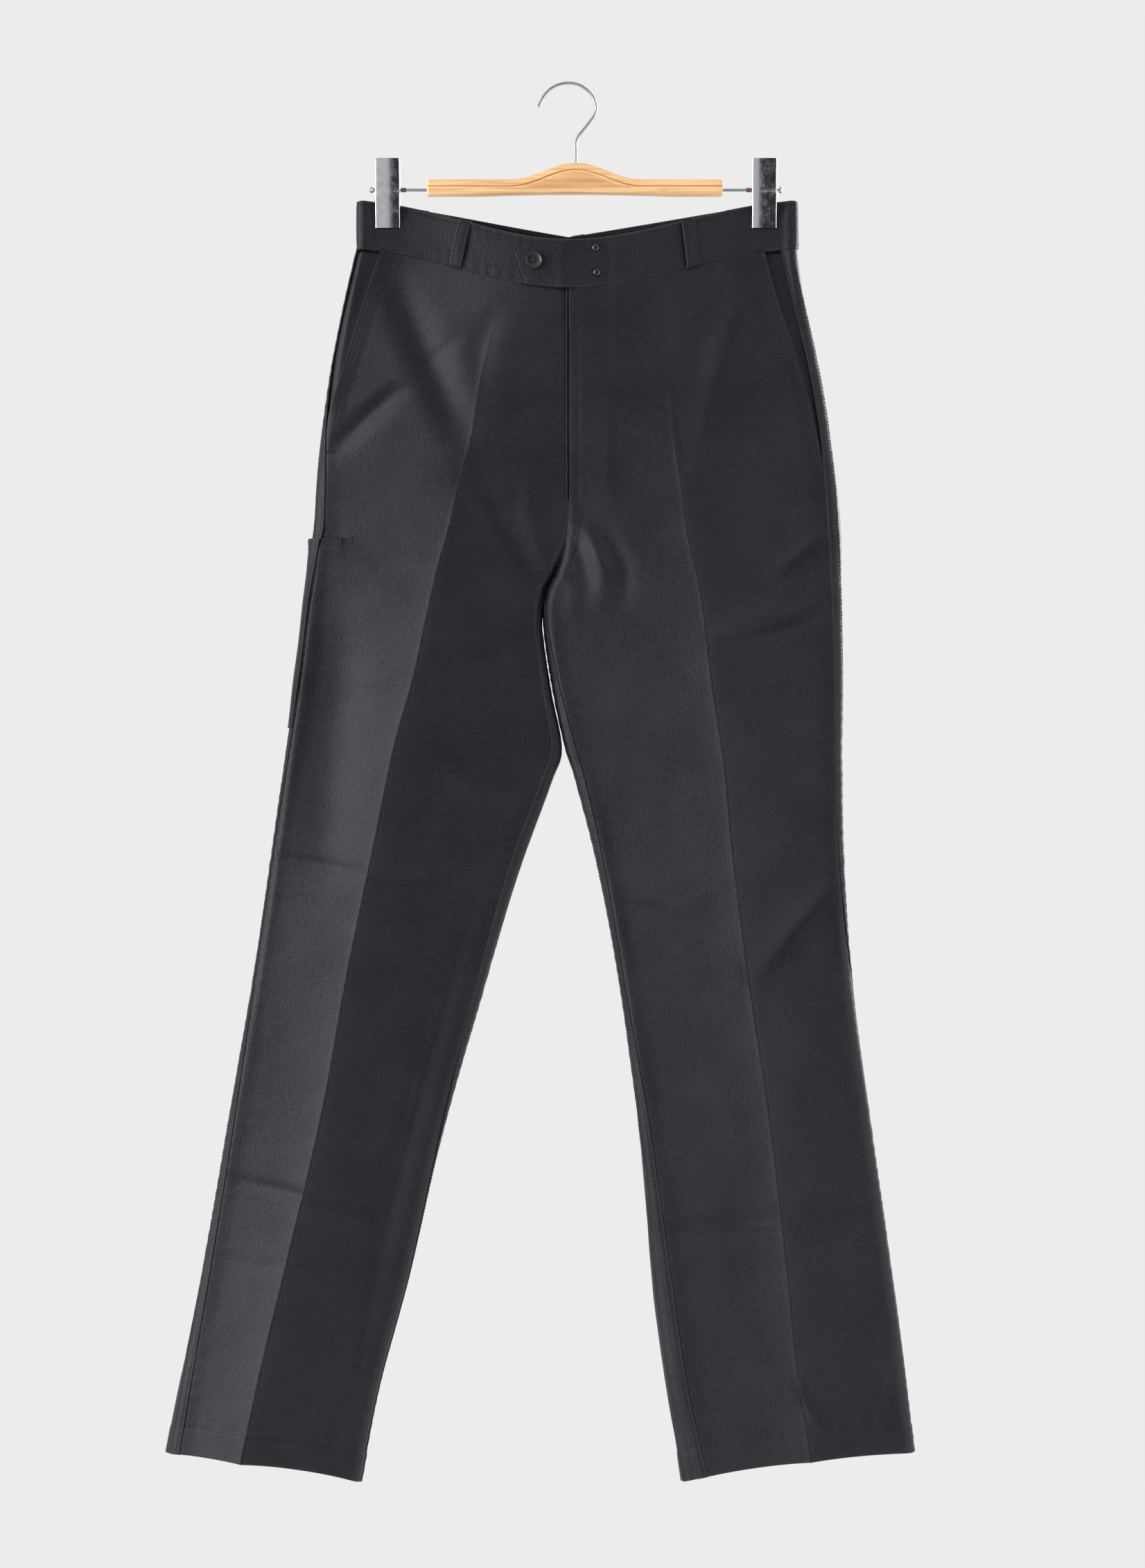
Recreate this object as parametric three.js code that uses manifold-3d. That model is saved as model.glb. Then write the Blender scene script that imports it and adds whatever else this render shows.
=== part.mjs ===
// Straight-leg work trousers, held by the waistband on a wooden hanger with two spring clips.
//
// Millimetres, +Z up, +X towards the wearer's left, -Y towards the front. The origin is the inside top
// of the hanger's hook, where a rail carries it. Each leg and its half of the seat is one hollow form,
// given by level sections from the waist seam to the hem: where its outer and inner edges lie, where
// the pressed crease lies, and how far the cloth stands out in front and behind. A panel is a wall on
// part of that form. Everything sewn on top of a panel is made from the same form, moved outwards.
import * as THREE from 'three';
import { mergeVertices } from 'three/addons/utils/BufferGeometryUtils.js';
import Module from 'manifold-3d';

const RIGHT = -1; // the wearer's right half, at -X
const LEFT = 1; // the wearer's left half, at +X

const CLOTH = 1.4; // wall of a panel
const BAND_WALL = 2.4; // the waistband is folded double
const GAP = 0.3; // between pieces that meet at a seam
const BAND_HEIGHT = 40;
const BAND_PROUD = 0.5; // the band stands this far outside the panels below it
const EDGE_WIDTH = 9; // the rounded turn at the side of a leg
const ARC = 1.2; // length of a rounded turn for each millimetre of its width
const WAIST_ROW = 0;
const BAND_TOP_ROW = -1;

// Shared by both halves: the height of each section at its outer and inner edge, how the section
// dips between them, how far the clips squeeze it flat, how far it is open at the centre seam, how
// crisp the crease is, the depth of the rounded turn at the outer edge, and how far the cloth stands
// out in front and behind at the inner edge.
const LEVELS = [
  { zOut: -142, zIn: -179, dip: 1.1, pinch: 1, open: 1, crisp: 0.1, side: 5, endFront: 28, endBack: 20 },
  { zOut: -185, zIn: -218, dip: 1.1, pinch: 0.6, open: 1, crisp: 0.25, side: 6, endFront: 27, endBack: 27 },
  { zOut: -239, zIn: -266, dip: 1.2, pinch: 0.2, open: 1, crisp: 0.35, side: 8, endFront: 26, endBack: 33 },
  { zOut: -293, zIn: -316, dip: 1.3, pinch: 0, open: 1, crisp: 0.35, side: 9, endFront: 25, endBack: 36 },
  { zOut: -347, zIn: -363, dip: 1.4, pinch: 0, open: 1, crisp: 0.35, side: 9, endFront: 24, endBack: 36 },
  { zOut: -381, zIn: -395, dip: 1.5, pinch: 0, open: 0.9, crisp: 0.4, side: 9, endFront: 22, endBack: 33 },
  { zOut: -406, zIn: -420, dip: 1.5, pinch: 0, open: 0.55, crisp: 0.45, side: 9, endFront: 19, endBack: 27 },
  { zOut: -428, zIn: -441, dip: 1.5, pinch: 0, open: 0, crisp: 0.5, side: 9, endFront: 14, endBack: 18 },
  { zOut: -461, zIn: -470, dip: 1.5, pinch: 0, open: 0, crisp: 0.55, side: 9, endFront: 11, endBack: 13 },
  { zOut: -511, zIn: -526, dip: 1.5, pinch: 0, open: 0, crisp: 0.6, side: 9, endFront: 10, endBack: 11 },
  { zOut: -557, zIn: -575, dip: 1.6, pinch: 0, open: 0, crisp: 0.6, side: 9, endFront: 9, endBack: 10 },
  { zOut: -593, zIn: -606, dip: 1.6, pinch: 0, open: 0, crisp: 0.6, side: 9, endFront: 9, endBack: 10 },
  { zOut: -665, zIn: -684, dip: 1.7, pinch: 0, open: 0, crisp: 0.6, side: 9, endFront: 9, endBack: 9 },
  { zOut: -767, zIn: -789, dip: 1.8, pinch: 0, open: 0, crisp: 0.6, side: 9, endFront: 9, endBack: 9 },
  { zOut: -887, zIn: -910, dip: 1.9, pinch: 0, open: 0, crisp: 0.6, side: 9, endFront: 9, endBack: 9 },
  { zOut: -1007, zIn: -1030, dip: 2, pinch: 0, open: 0, crisp: 0.6, side: 9, endFront: 9, endBack: 9 },
  { zOut: -1103, zIn: -1126, dip: 2, pinch: 0, open: 0, crisp: 0.6, side: 9, endFront: 9, endBack: 9 },
  { zOut: -1183, zIn: -1209, dip: 2.2, pinch: 0, open: 0, crisp: 0.6, side: 9, endFront: 9, endBack: 9 },
];

// One row for each level. out, crease and inn are the X of the outer edge, the crease and the inner
// edge; front and back are how far the crease stands out; seamOut and seamIn are how far the side
// seam and the inside leg seam lie in front of the edges; mouth is the same for the pocket mouth,
// which ends where it meets the side seam.
const SECTIONS = {
  [RIGHT]: [
    { out: -183, crease: -49, inn: 0, front: 24, back: 18, seamOut: 0, seamIn: 0, mouth: 21 },
    { out: -193, crease: -64, inn: 0, front: 26, back: 26, seamOut: 0, seamIn: 0, mouth: 17 },
    { out: -204, crease: -76, inn: 0, front: 29, back: 33, seamOut: 0, seamIn: 0, mouth: 12 },
    { out: -212, crease: -84, inn: 0, front: 31, back: 39, seamOut: 2, seamIn: 0, mouth: 4 },
    { out: -218, crease: -96, inn: 0, front: 33, back: 43, seamOut: 7, seamIn: 0, mouth: 7 },
    { out: -221, crease: -103, inn: -2, front: 34, back: 44, seamOut: 9, seamIn: 0, mouth: 9 },
    { out: -224, crease: -110, inn: -10, front: 34, back: 43, seamOut: 7, seamIn: 0, mouth: 7 },
    { out: -226, crease: -115, inn: -20, front: 35, back: 42, seamOut: 5, seamIn: 0, mouth: 5 },
    { out: -230, crease: -122, inn: -23, front: 35, back: 41, seamOut: 4, seamIn: 3, mouth: 4 },
    { out: -236, crease: -133, inn: -15, front: 35, back: 38, seamOut: 4, seamIn: 6, mouth: 4 },
    { out: -242, crease: -146, inn: -5, front: 35, back: 36, seamOut: 3, seamIn: 9, mouth: 3 },
    { out: -247, crease: -154, inn: -14, front: 35, back: 35, seamOut: 2, seamIn: 10, mouth: 2 },
    { out: -257, crease: -169, inn: -43, front: 35, back: 34, seamOut: 1, seamIn: 9, mouth: 1 },
    { out: -272, crease: -190, inn: -75, front: 35, back: 34, seamOut: 1, seamIn: 6, mouth: 1 },
    { out: -293, crease: -212, inn: -110, front: 36, back: 35, seamOut: 5, seamIn: 1, mouth: 5 },
    { out: -314, crease: -240, inn: -138, front: 38, back: 36, seamOut: 7, seamIn: 0, mouth: 7 },
    { out: -334, crease: -263, inn: -164, front: 39, back: 37, seamOut: 11, seamIn: 0, mouth: 11 },
    { out: -350, crease: -280, inn: -180, front: 40, back: 38, seamOut: 14, seamIn: 0, mouth: 14 },
  ],
  [LEFT]: [
    { out: 198, crease: 78, inn: 0, front: 25, back: 18, seamOut: 14, seamIn: 0, mouth: 29 },
    { out: 204, crease: 80, inn: 0, front: 27, back: 26, seamOut: 10, seamIn: 0, mouth: 24 },
    { out: 215, crease: 84, inn: 0, front: 29, back: 33, seamOut: 8, seamIn: 0, mouth: 18 },
    { out: 225, crease: 90, inn: 0, front: 31, back: 39, seamOut: 9, seamIn: 0, mouth: 14 },
    { out: 233, crease: 97, inn: 0, front: 32, back: 43, seamOut: 11, seamIn: 0, mouth: 11 },
    { out: 236, crease: 101, inn: -2, front: 33, back: 44, seamOut: 12, seamIn: 0, mouth: 12 },
    { out: 237, crease: 106, inn: -10, front: 33, back: 43, seamOut: 11, seamIn: 0, mouth: 11 },
    { out: 237, crease: 111, inn: -20, front: 33, back: 42, seamOut: 10, seamIn: 0, mouth: 10 },
    { out: 237.5, crease: 116, inn: -22, front: 33, back: 41, seamOut: 9, seamIn: 3, mouth: 9 },
    { out: 238, crease: 122, inn: -14, front: 33, back: 38, seamOut: 8, seamIn: 6, mouth: 8 },
    { out: 237.5, crease: 129, inn: -4, front: 32, back: 35, seamOut: 7, seamIn: 9, mouth: 7 },
    { out: 237, crease: 134, inn: 6, front: 31, back: 33, seamOut: 6, seamIn: 8, mouth: 6 },
    { out: 238, crease: 141, inn: 26, front: 30, back: 30, seamOut: 4, seamIn: 5, mouth: 4 },
    { out: 244, crease: 154, inn: 45, front: 28, back: 28, seamOut: 0, seamIn: 4, mouth: 0 },
    { out: 260, crease: 172, inn: 60, front: 27, back: 27, seamOut: -1, seamIn: 10, mouth: -1 },
    { out: 277, crease: 186, inn: 70, front: 26, back: 27, seamOut: -1, seamIn: 17, mouth: -1 },
    { out: 290, crease: 196, inn: 83, front: 26, back: 27, seamOut: -1, seamIn: 18, mouth: -1 },
    { out: 299, crease: 208, inn: 96, front: 26, back: 27, seamOut: -1, seamIn: 23, mouth: -1 },
  ],
};
const HEM_ROW = LEVELS.length - 1;

// Rows of wall built below each level: more where the form changes quickly.
const ROWS_BELOW = [2, 2, 2, 2, 1, 2, 2, 2, 2, 2, 1, 2, 3, 3, 3, 3, 3];
const PANEL_COLUMNS = 14; // an even number: half of them lie on each side of the crease

// The largest folds: a trough has a negative depth, a ridge a positive one.
const FOLDS = [
  { half: RIGHT, face: 'front', x0: -150, z0: -172, x1: -94, z1: -300, width: 15, depth: -6 },
  { half: RIGHT, face: 'front', x0: -206, z0: -318, x1: -150, z1: -268, width: 9, depth: -4 },
  { half: RIGHT, face: 'front', x0: -84, z0: -345, x1: -26, z1: -436, width: 20, depth: -6 },
  { half: RIGHT, face: 'front', x0: -104, z0: -585, x1: -62, z1: -622, width: 13, depth: 4 },
  { half: RIGHT, face: 'front', x0: -260, z0: -668, x1: -172, z1: -686, width: 9, depth: -2.5 },
  { half: RIGHT, face: 'front', x0: -100, z0: -780, x1: -160, z1: -1000, width: 12, depth: 3 },
  { half: RIGHT, face: 'front', x0: -294, z0: -946, x1: -165, z1: -977, width: 9, depth: -2.5 },
  { half: LEFT, face: 'front', x0: 150, z0: -190, x1: 120, z1: -290, width: 16, depth: -4 },
  { half: LEFT, face: 'front', x0: 16, z0: -388, x1: 34, z1: -436, width: 10, depth: 4 },
  { half: LEFT, face: 'front', x0: 226, z0: -394, x1: 180, z1: -422, width: 9, depth: -4 },
  { half: LEFT, face: 'front', x0: 222, z0: -448, x1: 126, z1: -477, width: 10, depth: -4 },
  { half: LEFT, face: 'front', x0: 234, z0: -690, x1: 160, z1: -768, width: 13, depth: -4 },
  { half: LEFT, face: 'front', x0: 88, z0: -989, x1: 270, z1: -968, width: 9, depth: -2.5 },
  { half: RIGHT, face: 'back', x0: -150, z0: -172, x1: -110, z1: -300, width: 18, depth: -7 },
  { half: RIGHT, face: 'back', x0: -70, z0: -390, x1: -170, z1: -470, width: 15, depth: -5 },
  { half: RIGHT, face: 'back', x0: -250, z0: -660, x1: -120, z1: -690, width: 11, depth: -4 },
  { half: RIGHT, face: 'back', x0: -285, z0: -930, x1: -150, z1: -965, width: 11, depth: -3 },
  { half: LEFT, face: 'back', x0: 168, z0: -172, x1: 120, z1: -310, width: 18, depth: -7 },
  { half: LEFT, face: 'back', x0: 60, z0: -395, x1: 190, z1: -455, width: 15, depth: -5 },
  { half: LEFT, face: 'back', x0: 60, z0: -700, x1: 220, z1: -670, width: 11, depth: -4 },
  { half: LEFT, face: 'back', x0: 90, z0: -985, x1: 260, z1: -950, width: 11, depth: -3 },
];

// The squeeze at the clips, measured from the outer edge of the waist along X.
const CLIP_WIDTH = 21.4;
const CLIP_X = { [RIGHT]: -156.5, [LEFT]: 169 };
const PINCHED = 2.5; // half the thickness of the two bands between the jaws
const LOOP_BULGE = 4.5; // the cloth outside a clip stands open by this much more
const LOOP_CENTRE = 4;
const LOOP_SPREAD = 6;
const CENTRE_SLACK = 3; // the front waist stands out this much more than its crease at the centre
const CENTRE_BACK_RISE = 9; // the back waist seam hangs higher at the centre than the front one

// The fly: the wearer's left front laps over the right one.
const FLY_BOTTOM = -362;
const FLY_WIDTH = 42;
const FLY_PROUD = 1.2;

const lerp = (a, b, u) => a + (b - a) * u;
const clamp01 = (u) => Math.min(1, Math.max(0, u));
const smooth = (u) => clamp01(u) ** 2 * (3 - 2 * clamp01(u));

/** A column of a table at a row between its rows, on a Catmull-Rom curve. */
function column(table, key, row) {
  const last = table.length - 1;
  const t = Math.min(last, Math.max(0, row));
  const i = Math.min(last - 1, Math.floor(t));
  const u = t - i;
  const [p0, p1, p2, p3] = [i - 1, i, i + 1, i + 2].map((k) => table[Math.min(last, Math.max(0, k))][key]);
  const curve = 2 * p1 + (p2 - p0) * u + (2 * p0 - 5 * p1 + 4 * p2 - p3) * u * u
    + (3 * p1 - p0 - 3 * p2 + p3) * u ** 3;
  return curve / 2;
}

/** The whole section of one half at a row; rows below 0 are the waistband, -1 its top edge. */
function sectionAt(half, row) {
  const section = { half, up: Math.max(0, -row) * BAND_HEIGHT };
  for (const key of Object.keys(LEVELS[0])) section[key] = column(LEVELS, key, row);
  for (const key of Object.keys(SECTIONS[half][0])) section[key] = column(SECTIONS[half], key, row);
  section.open = clamp01(section.open);
  section.width = Math.abs(section.inn - section.out);
  section.toCrease = Math.abs(section.crease - section.out);
  section.turnOut = EDGE_WIDTH * ARC;
  section.turnIn = EDGE_WIDTH * lerp(ARC, 1, section.open);
  section.length = section.turnOut + section.width - 2 * EDGE_WIDTH + section.turnIn;
  return section;
}

/** Arc length from the outer edge for a distance along X; a negative one lies on the other face. */
function arcFromOut(section, distance) {
  const d = Math.abs(distance);
  const arc = d < EDGE_WIDTH
    ? section.turnOut * Math.acos(1 - d / EDGE_WIDTH) / (Math.PI / 2)
    : section.turnOut + d - EDGE_WIDTH;
  return Math.sign(distance) * arc;
}

/** Arc length from the inner edge for a distance along X. */
function arcFromIn(section, distance) {
  if (distance >= EDGE_WIDTH) return section.turnIn + distance - EDGE_WIDTH;
  const rounded = Math.acos(1 - distance / EDGE_WIDTH) / (Math.PI / 2);
  return section.turnIn * lerp(rounded, distance / EDGE_WIDTH, section.open);
}

/** How far all the folds of one face move a point in or out. */
function foldsAt(half, face, x, z) {
  let sum = 0;
  for (const f of FOLDS) {
    if (f.half !== half || f.face !== face) continue;
    const [dx, dz] = [f.x1 - f.x0, f.z1 - f.z0];
    const along = clamp01(((x - f.x0) * dx + (z - f.z0) * dz) / (dx * dx + dz * dz));
    const away = Math.hypot(x - f.x0 - along * dx, z - f.z0 - along * dz);
    const fade = Math.sin(Math.PI * (0.12 + 0.76 * along));
    sum += f.depth * fade * Math.exp(-((away / f.width) ** 2));
  }
  return sum;
}

/** The shape of the cloth from an edge (0) to the crease (1): round at first, then a pressed ridge. */
const flank = (u, crisp) => (1 - crisp) * Math.sin(clamp01(u) * Math.PI / 2) + crisp * clamp01(u) ** 1.7;

/** How far the cloth stands from the middle plane where the clips squeeze the waist. */
function squeezed(section, fromOut, turn, centreDepth) {
  const clipEnd = Math.abs(section.out - CLIP_X[section.half]) + CLIP_WIDTH / 2 + 2;
  const loop = LOOP_BULGE * Math.exp(-(((fromOut - LOOP_CENTRE) / LOOP_SPREAD) ** 2));
  const u = clamp01((fromOut - clipEnd) / (section.width - clipEnd));
  return turn * (PINCHED + loop) + (centreDepth - PINCHED) * Math.sin(u * Math.PI / 2) ** 1.5;
}

/** The point of one half's form at an arc length from the outer edge, on the front or back face. */
function facePoint(section, face, arc) {
  const { half, turnOut, turnIn, length, width } = section;
  const [fromIn, roundOut] = [length - arc, clamp01(arc / turnOut) * Math.PI / 2];
  let [turnO, turnI, fromOut] = [Math.sin(roundOut), 1, EDGE_WIDTH + arc - turnOut];
  if (arc < turnOut) fromOut = EDGE_WIDTH * (1 - Math.cos(roundOut));
  if (fromIn < turnIn) {
    const u = fromIn / turnIn;
    turnI = Math.sin(u * Math.PI / 2);
    fromOut = width - EDGE_WIDTH * lerp(1 - Math.cos(u * Math.PI / 2), u, section.open);
  }
  const crease = section[face];
  const end = face === 'front' ? section.endFront : section.endBack;
  const endDepth = end * section.open;
  let depth = fromOut < section.toCrease
    ? section.side * turnO + (crease - section.side) * flank(fromOut / section.toCrease, section.crisp)
    : endDepth + (end - endDepth) * turnI
      + (crease - end) * flank((width - fromOut) / (width - section.toCrease), section.crisp);
  const pinched = squeezed(section, fromOut, turnO, face === 'front' ? section.front + CENTRE_SLACK : end);
  depth = lerp(depth, pinched, section.pinch);

  // The front waist hangs in a smooth curve, and the back one in a shallow V.
  const u = clamp01(fromOut / width);
  const straight = u ** section.dip;
  const dipped = face === 'front' ? lerp(straight, smooth(u), section.open) : straight;
  let z = lerp(section.zOut, section.zIn, dipped) + section.up;
  const highBack = CENTRE_BACK_RISE * dipped * smooth(1 - (section.zOut - LEVELS[0].zOut) / -200);
  if (face === 'back') z += highBack;
  const x = section.out - half * fromOut;
  depth += foldsAt(half, face, x, z) * turnO * lerp(turnI, 1, section.open);
  if (half === LEFT && face === 'front' && section.zOut > LEVELS[7].zOut) {
    const fly = smooth((z - FLY_BOTTOM + 12) / 24) * smooth((FLY_WIDTH - Math.abs(x)) / 8);
    depth += FLY_PROUD * fly;
  }
  return new THREE.Vector3(x, face === 'front' ? -depth : depth, z);
}

/**
 * The point at a signed arc length: from 0 at the outer edge, positive over the front and negative
 * over the back. Past the inner edge of a leg it goes on over the other face.
 */
function formPoint(half, row, arc) {
  const section = sectionAt(half, row);
  const [far, face, other] = arc >= 0 ? [arc, 'front', 'back'] : [-arc, 'back', 'front'];
  if (far <= section.length) return facePoint(section, face, far);
  return facePoint(section, other, 2 * section.length - far);
}

/** The outward normal of a surface given by a function of two numbers. */
function normalOf(surface, row, arc, sign) {
  const [dRow, dArc] = [0.04, 1.2];
  const along = surface(row, arc + dArc).sub(surface(row, arc - dArc));
  const up = surface(row - dRow, arc).sub(surface(row + dRow, arc));
  return along.cross(up).normalize().multiplyScalar(sign);
}

/** A closed wall on a grid of stations: the outer skin, the inner skin, and the edges between them. */
function wall(stations, surface, { sign, thickness, lift = 0 }) {
  const [rows, columns] = [stations.length, stations[0].length];
  const positions = [];
  for (const depth of [lift, lift - thickness]) {
    for (const line of stations) {
      for (const [row, arc, extra = 0] of line) {
        const p = surface(row, arc).addScaledVector(normalOf(surface, row, arc, sign), depth + extra);
        positions.push(p.x, p.y, p.z);
      }
    }
  }
  const inner = rows * columns;
  const at = (i, j) => i * columns + j;
  const index = [];
  const quad = (a, b, c, d) => index.push(a, b, c, a, c, d);
  for (let i = 0; i + 1 < rows; i += 1) {
    for (let j = 0; j + 1 < columns; j += 1) {
      const [a, b, c, d] = [at(i, j), at(i + 1, j), at(i + 1, j + 1), at(i, j + 1)];
      quad(a, b, c, d);
      quad(inner + a, inner + d, inner + c, inner + b);
    }
  }
  for (let j = 0; j + 1 < columns; j += 1) {
    quad(at(0, j), at(0, j + 1), inner + at(0, j + 1), inner + at(0, j));
    quad(at(rows - 1, j + 1), at(rows - 1, j), inner + at(rows - 1, j), inner + at(rows - 1, j + 1));
  }
  const last = columns - 1;
  for (let i = 0; i + 1 < rows; i += 1) {
    quad(at(i + 1, 0), at(i, 0), inner + at(i, 0), inner + at(i + 1, 0));
    quad(at(i, last), at(i + 1, last), inner + at(i + 1, last), inner + at(i, last));
  }
  const geometry = new THREE.BufferGeometry();
  geometry.setAttribute('position', new THREE.Float32BufferAttribute(positions, 3));
  geometry.setIndex(index);
  return facingOut(geometry);
}

/** The same closed geometry, turned so that its faces point out. */
function facingOut(geometry) {
  const [p, index] = [geometry.attributes.position, Array.from(geometry.index.array)];
  const [a, b, c] = [new THREE.Vector3(), new THREE.Vector3(), new THREE.Vector3()];
  let volume = 0;
  for (let i = 0; i < index.length; i += 3) {
    a.fromBufferAttribute(p, index[i]);
    b.fromBufferAttribute(p, index[i + 1]);
    c.fromBufferAttribute(p, index[i + 2]);
    volume += a.dot(b.cross(c));
  }
  if (volume < 0) {
    for (let i = 0; i < index.length; i += 3) [index[i], index[i + 1]] = [index[i + 1], index[i]];
    geometry.setIndex(index);
  }
  return geometry;
}

/** Numbers evenly spaced from a to b, both included. */
const spaced = (a, b, steps) => Array.from({ length: steps + 1 }, (_, k) => lerp(a, b, k / steps));

/** The rows of a panel from the waist seam to the hem. */
function panelRows() {
  const rows = [];
  ROWS_BELOW.forEach((n, level) => rows.push(...spaced(level, level + 1, n).slice(0, -1)));
  rows.push(HEM_ROW);
  return rows;
}

/** Arc lengths from start to end with a column on the crease, closer together at both ends. */
function creasedColumns(start, crease, end) {
  const half = PANEL_COLUMNS / 2;
  const ease = (k) => Math.sin((k / half) * Math.PI / 2) ** 1.15;
  const first = spaced(0, half, half).map((k) => lerp(start, crease, 1 - Math.cos(ease(k) * Math.PI / 2)));
  const second = spaced(0, half, half).map((k) => lerp(end, crease, 1 - Math.cos(ease(k) * Math.PI / 2)));
  return [...first, ...second.reverse().slice(1)];
}

const seamGap = GAP / 2 + 0.1;

/** The front of one half: from the pocket mouth or side seam to the centre or inside leg seam. */
function frontPanel(half) {
  const surface = (row, arc) => formPoint(half, row, arc);
  const stations = panelRows().map((row) => {
    const s = sectionAt(half, row);
    const edge = row < HEM_ROW ? Math.max(s.mouth, s.seamOut) : s.seamOut;
    const start = arcFromOut(s, edge) + seamGap;
    const end = s.length - arcFromIn(s, Math.max(0, s.seamIn)) - seamGap;
    return creasedColumns(start, arcFromOut(s, s.toCrease), end).map((arc) => [row, arc]);
  });
  return wall(stations, surface, { sign: -half, thickness: CLOTH });
}

/** Where the points of a back panel lie, from the side seam to the centre back or inside leg seam. */
function backStations(half) {
  return panelRows().map((row) => {
    const s = sectionAt(half, row);
    const start = arcFromOut(s, s.seamOut) - seamGap;
    const end = -(s.length + arcFromIn(s, Math.max(0, s.seamIn)) - seamGap);
    return creasedColumns(start, -arcFromOut(s, s.toCrease), end).map((arc) => [row, arc]);
  });
}

/** The back of one half, which turns forward round both edges of the leg. */
function backPanel(half) {
  const surface = (row, arc) => formPoint(half, row, arc);
  return wall(backStations(half), surface, { sign: -half, thickness: CLOTH });
}

const FACING_WALL = 1;
const FACING_CLEAR = 0.7; // how far behind the panels the facing lies
const FACING_UNDER = 8; // it runs on behind the front panel by this much
const FACING_TOP_ROW = 0.12;
const FACING_END_ROW = { [RIGHT]: 3.3, [LEFT]: 3.6 };

/** The cloth that shows behind a slant pocket mouth. */
function pocketFacing(half) {
  const surface = (row, arc) => formPoint(half, row, arc);
  const stations = spaced(FACING_TOP_ROW, FACING_END_ROW[half], 7).map((row) => {
    const s = sectionAt(half, row);
    const start = arcFromOut(s, s.seamOut) + seamGap + GAP;
    const end = arcFromOut(s, Math.max(s.mouth, s.seamOut)) + FACING_UNDER;
    return spaced(start, end, 6).map((arc) => [row, arc]);
  });
  return wall(stations, surface, { sign: -half, thickness: FACING_WALL, lift: -(CLOTH + FACING_CLEAR) });
}

// The tool pocket lies on the back panel, from the side seam backwards, with a lip at its top.
const RULER_TOP_ROW = 5.5;
const RULER_BOTTOM_ROW = 10;
const RULER_COLUMNS = 6; // of the panel's own columns, counted from the side seam
const RULER_LIP = 1.4; // how much further out its open top edge stands

function rulerPocket() {
  const surface = (row, arc) => formPoint(RIGHT, row, arc);
  const covered = backStations(RIGHT).filter(([[row]]) => row >= RULER_TOP_ROW && row <= RULER_BOTTOM_ROW);
  const stations = covered.map((line) => line.slice(0, RULER_COLUMNS).map(([row, arc]) => (
    [row, arc, row === RULER_TOP_ROW ? RULER_LIP : 0]
  )));
  return wall(stations, surface, { sign: -RIGHT, thickness: CLOTH, lift: CLOTH + GAP });
}

/** The whole waist as one loop: arc length from the right side, over the front or the back. */
function bandPoint(face, row, arc) {
  const right = sectionAt(RIGHT, row);
  const left = sectionAt(LEFT, row);
  const other = face === 'front' ? 'back' : 'front';
  const fromLeft = right.length + left.length - arc;
  if (arc < 0) return facePoint(right, other, -arc);
  if (arc <= right.length) return facePoint(right, face, arc);
  return fromLeft < 0 ? facePoint(left, other, -fromLeft) : facePoint(left, face, fromLeft);
}

/** Arc length on that loop for a place across the body. */
function bandArc(row, x) {
  const right = sectionAt(RIGHT, row);
  const left = sectionAt(LEFT, row);
  if (x <= 0) return arcFromOut(right, x - right.out);
  return right.length + left.length - arcFromOut(left, left.out - x);
}

const BAND_BOTTOM_ROW = -0.01;
const BAND_ROWS = 3;
const sideGap = GAP;

/** A stretch of waistband through places along it, with so many columns between each two. */
function bandStretch(face, placesAt, columns, lift = () => 0) {
  const surface = (row, arc) => bandPoint(face, row, arc);
  const stations = spaced(BAND_BOTTOM_ROW, BAND_TOP_ROW, BAND_ROWS).map((row) => {
    const places = placesAt(row);
    const arcs = columns.flatMap((n, i) => spaced(places[i], places[i + 1], n).slice(0, -1));
    return [...arcs, places.at(-1)].map((arc) => [row, arc, lift(arc)]);
  });
  const sign = face === 'front' ? 1 : -1;
  return wall(stations, surface, { sign, thickness: BAND_WALL, lift: BAND_PROUD });
}

const CENTRE_ARC = sectionAt(RIGHT, WAIST_ROW).length;
const LOOP_ARC = CENTRE_ARC + sectionAt(LEFT, WAIST_ROW).length;

/** The wearer's right front band, which ends at the centre under the tab. */
const waistbandRight = () => bandStretch('front', () => [sideGap, CENTRE_ARC - sideGap], [18]);

/** The band across the back, from side to side. */
const waistbandBack = () => bandStretch('back', () => [sideGap, LOOP_ARC - sideGap], [34]);

// The pointed tab: how far it reaches past the centre at the bottom, the point and the top.
const TAB_BOTTOM = 40;
const TAB_POINT = 49;
const TAB_TOP = 29;
const TAB_POINT_HEIGHT = 0.62;
const TAB_EASE = 12; // past the centre the lap has eased down to the plain band
const TAB_EASE_START = -6;
const TAB_LIFT = BAND_WALL + 2 * GAP;

/** How far the lap lifts the band at a place along it. */
const lapAt = (arc) => TAB_LIFT * smooth((CENTRE_ARC + TAB_EASE - arc) / (TAB_EASE - TAB_EASE_START));

/** The wearer's left front band with the tab that laps over the right one. */
function waistbandLeft() {
  const reach = (row) => {
    const v = -row;
    if (v < TAB_POINT_HEIGHT) return lerp(TAB_BOTTOM, TAB_POINT, v / TAB_POINT_HEIGHT);
    return lerp(TAB_POINT, TAB_TOP, (v - TAB_POINT_HEIGHT) / (1 - TAB_POINT_HEIGHT));
  };
  const places = (row) => [
    CENTRE_ARC - reach(row), CENTRE_ARC + TAB_EASE_START, CENTRE_ARC + TAB_EASE, LOOP_ARC - sideGap,
  ];
  return bandStretch('front', places, [4, 2, 18], lapAt);
}

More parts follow.
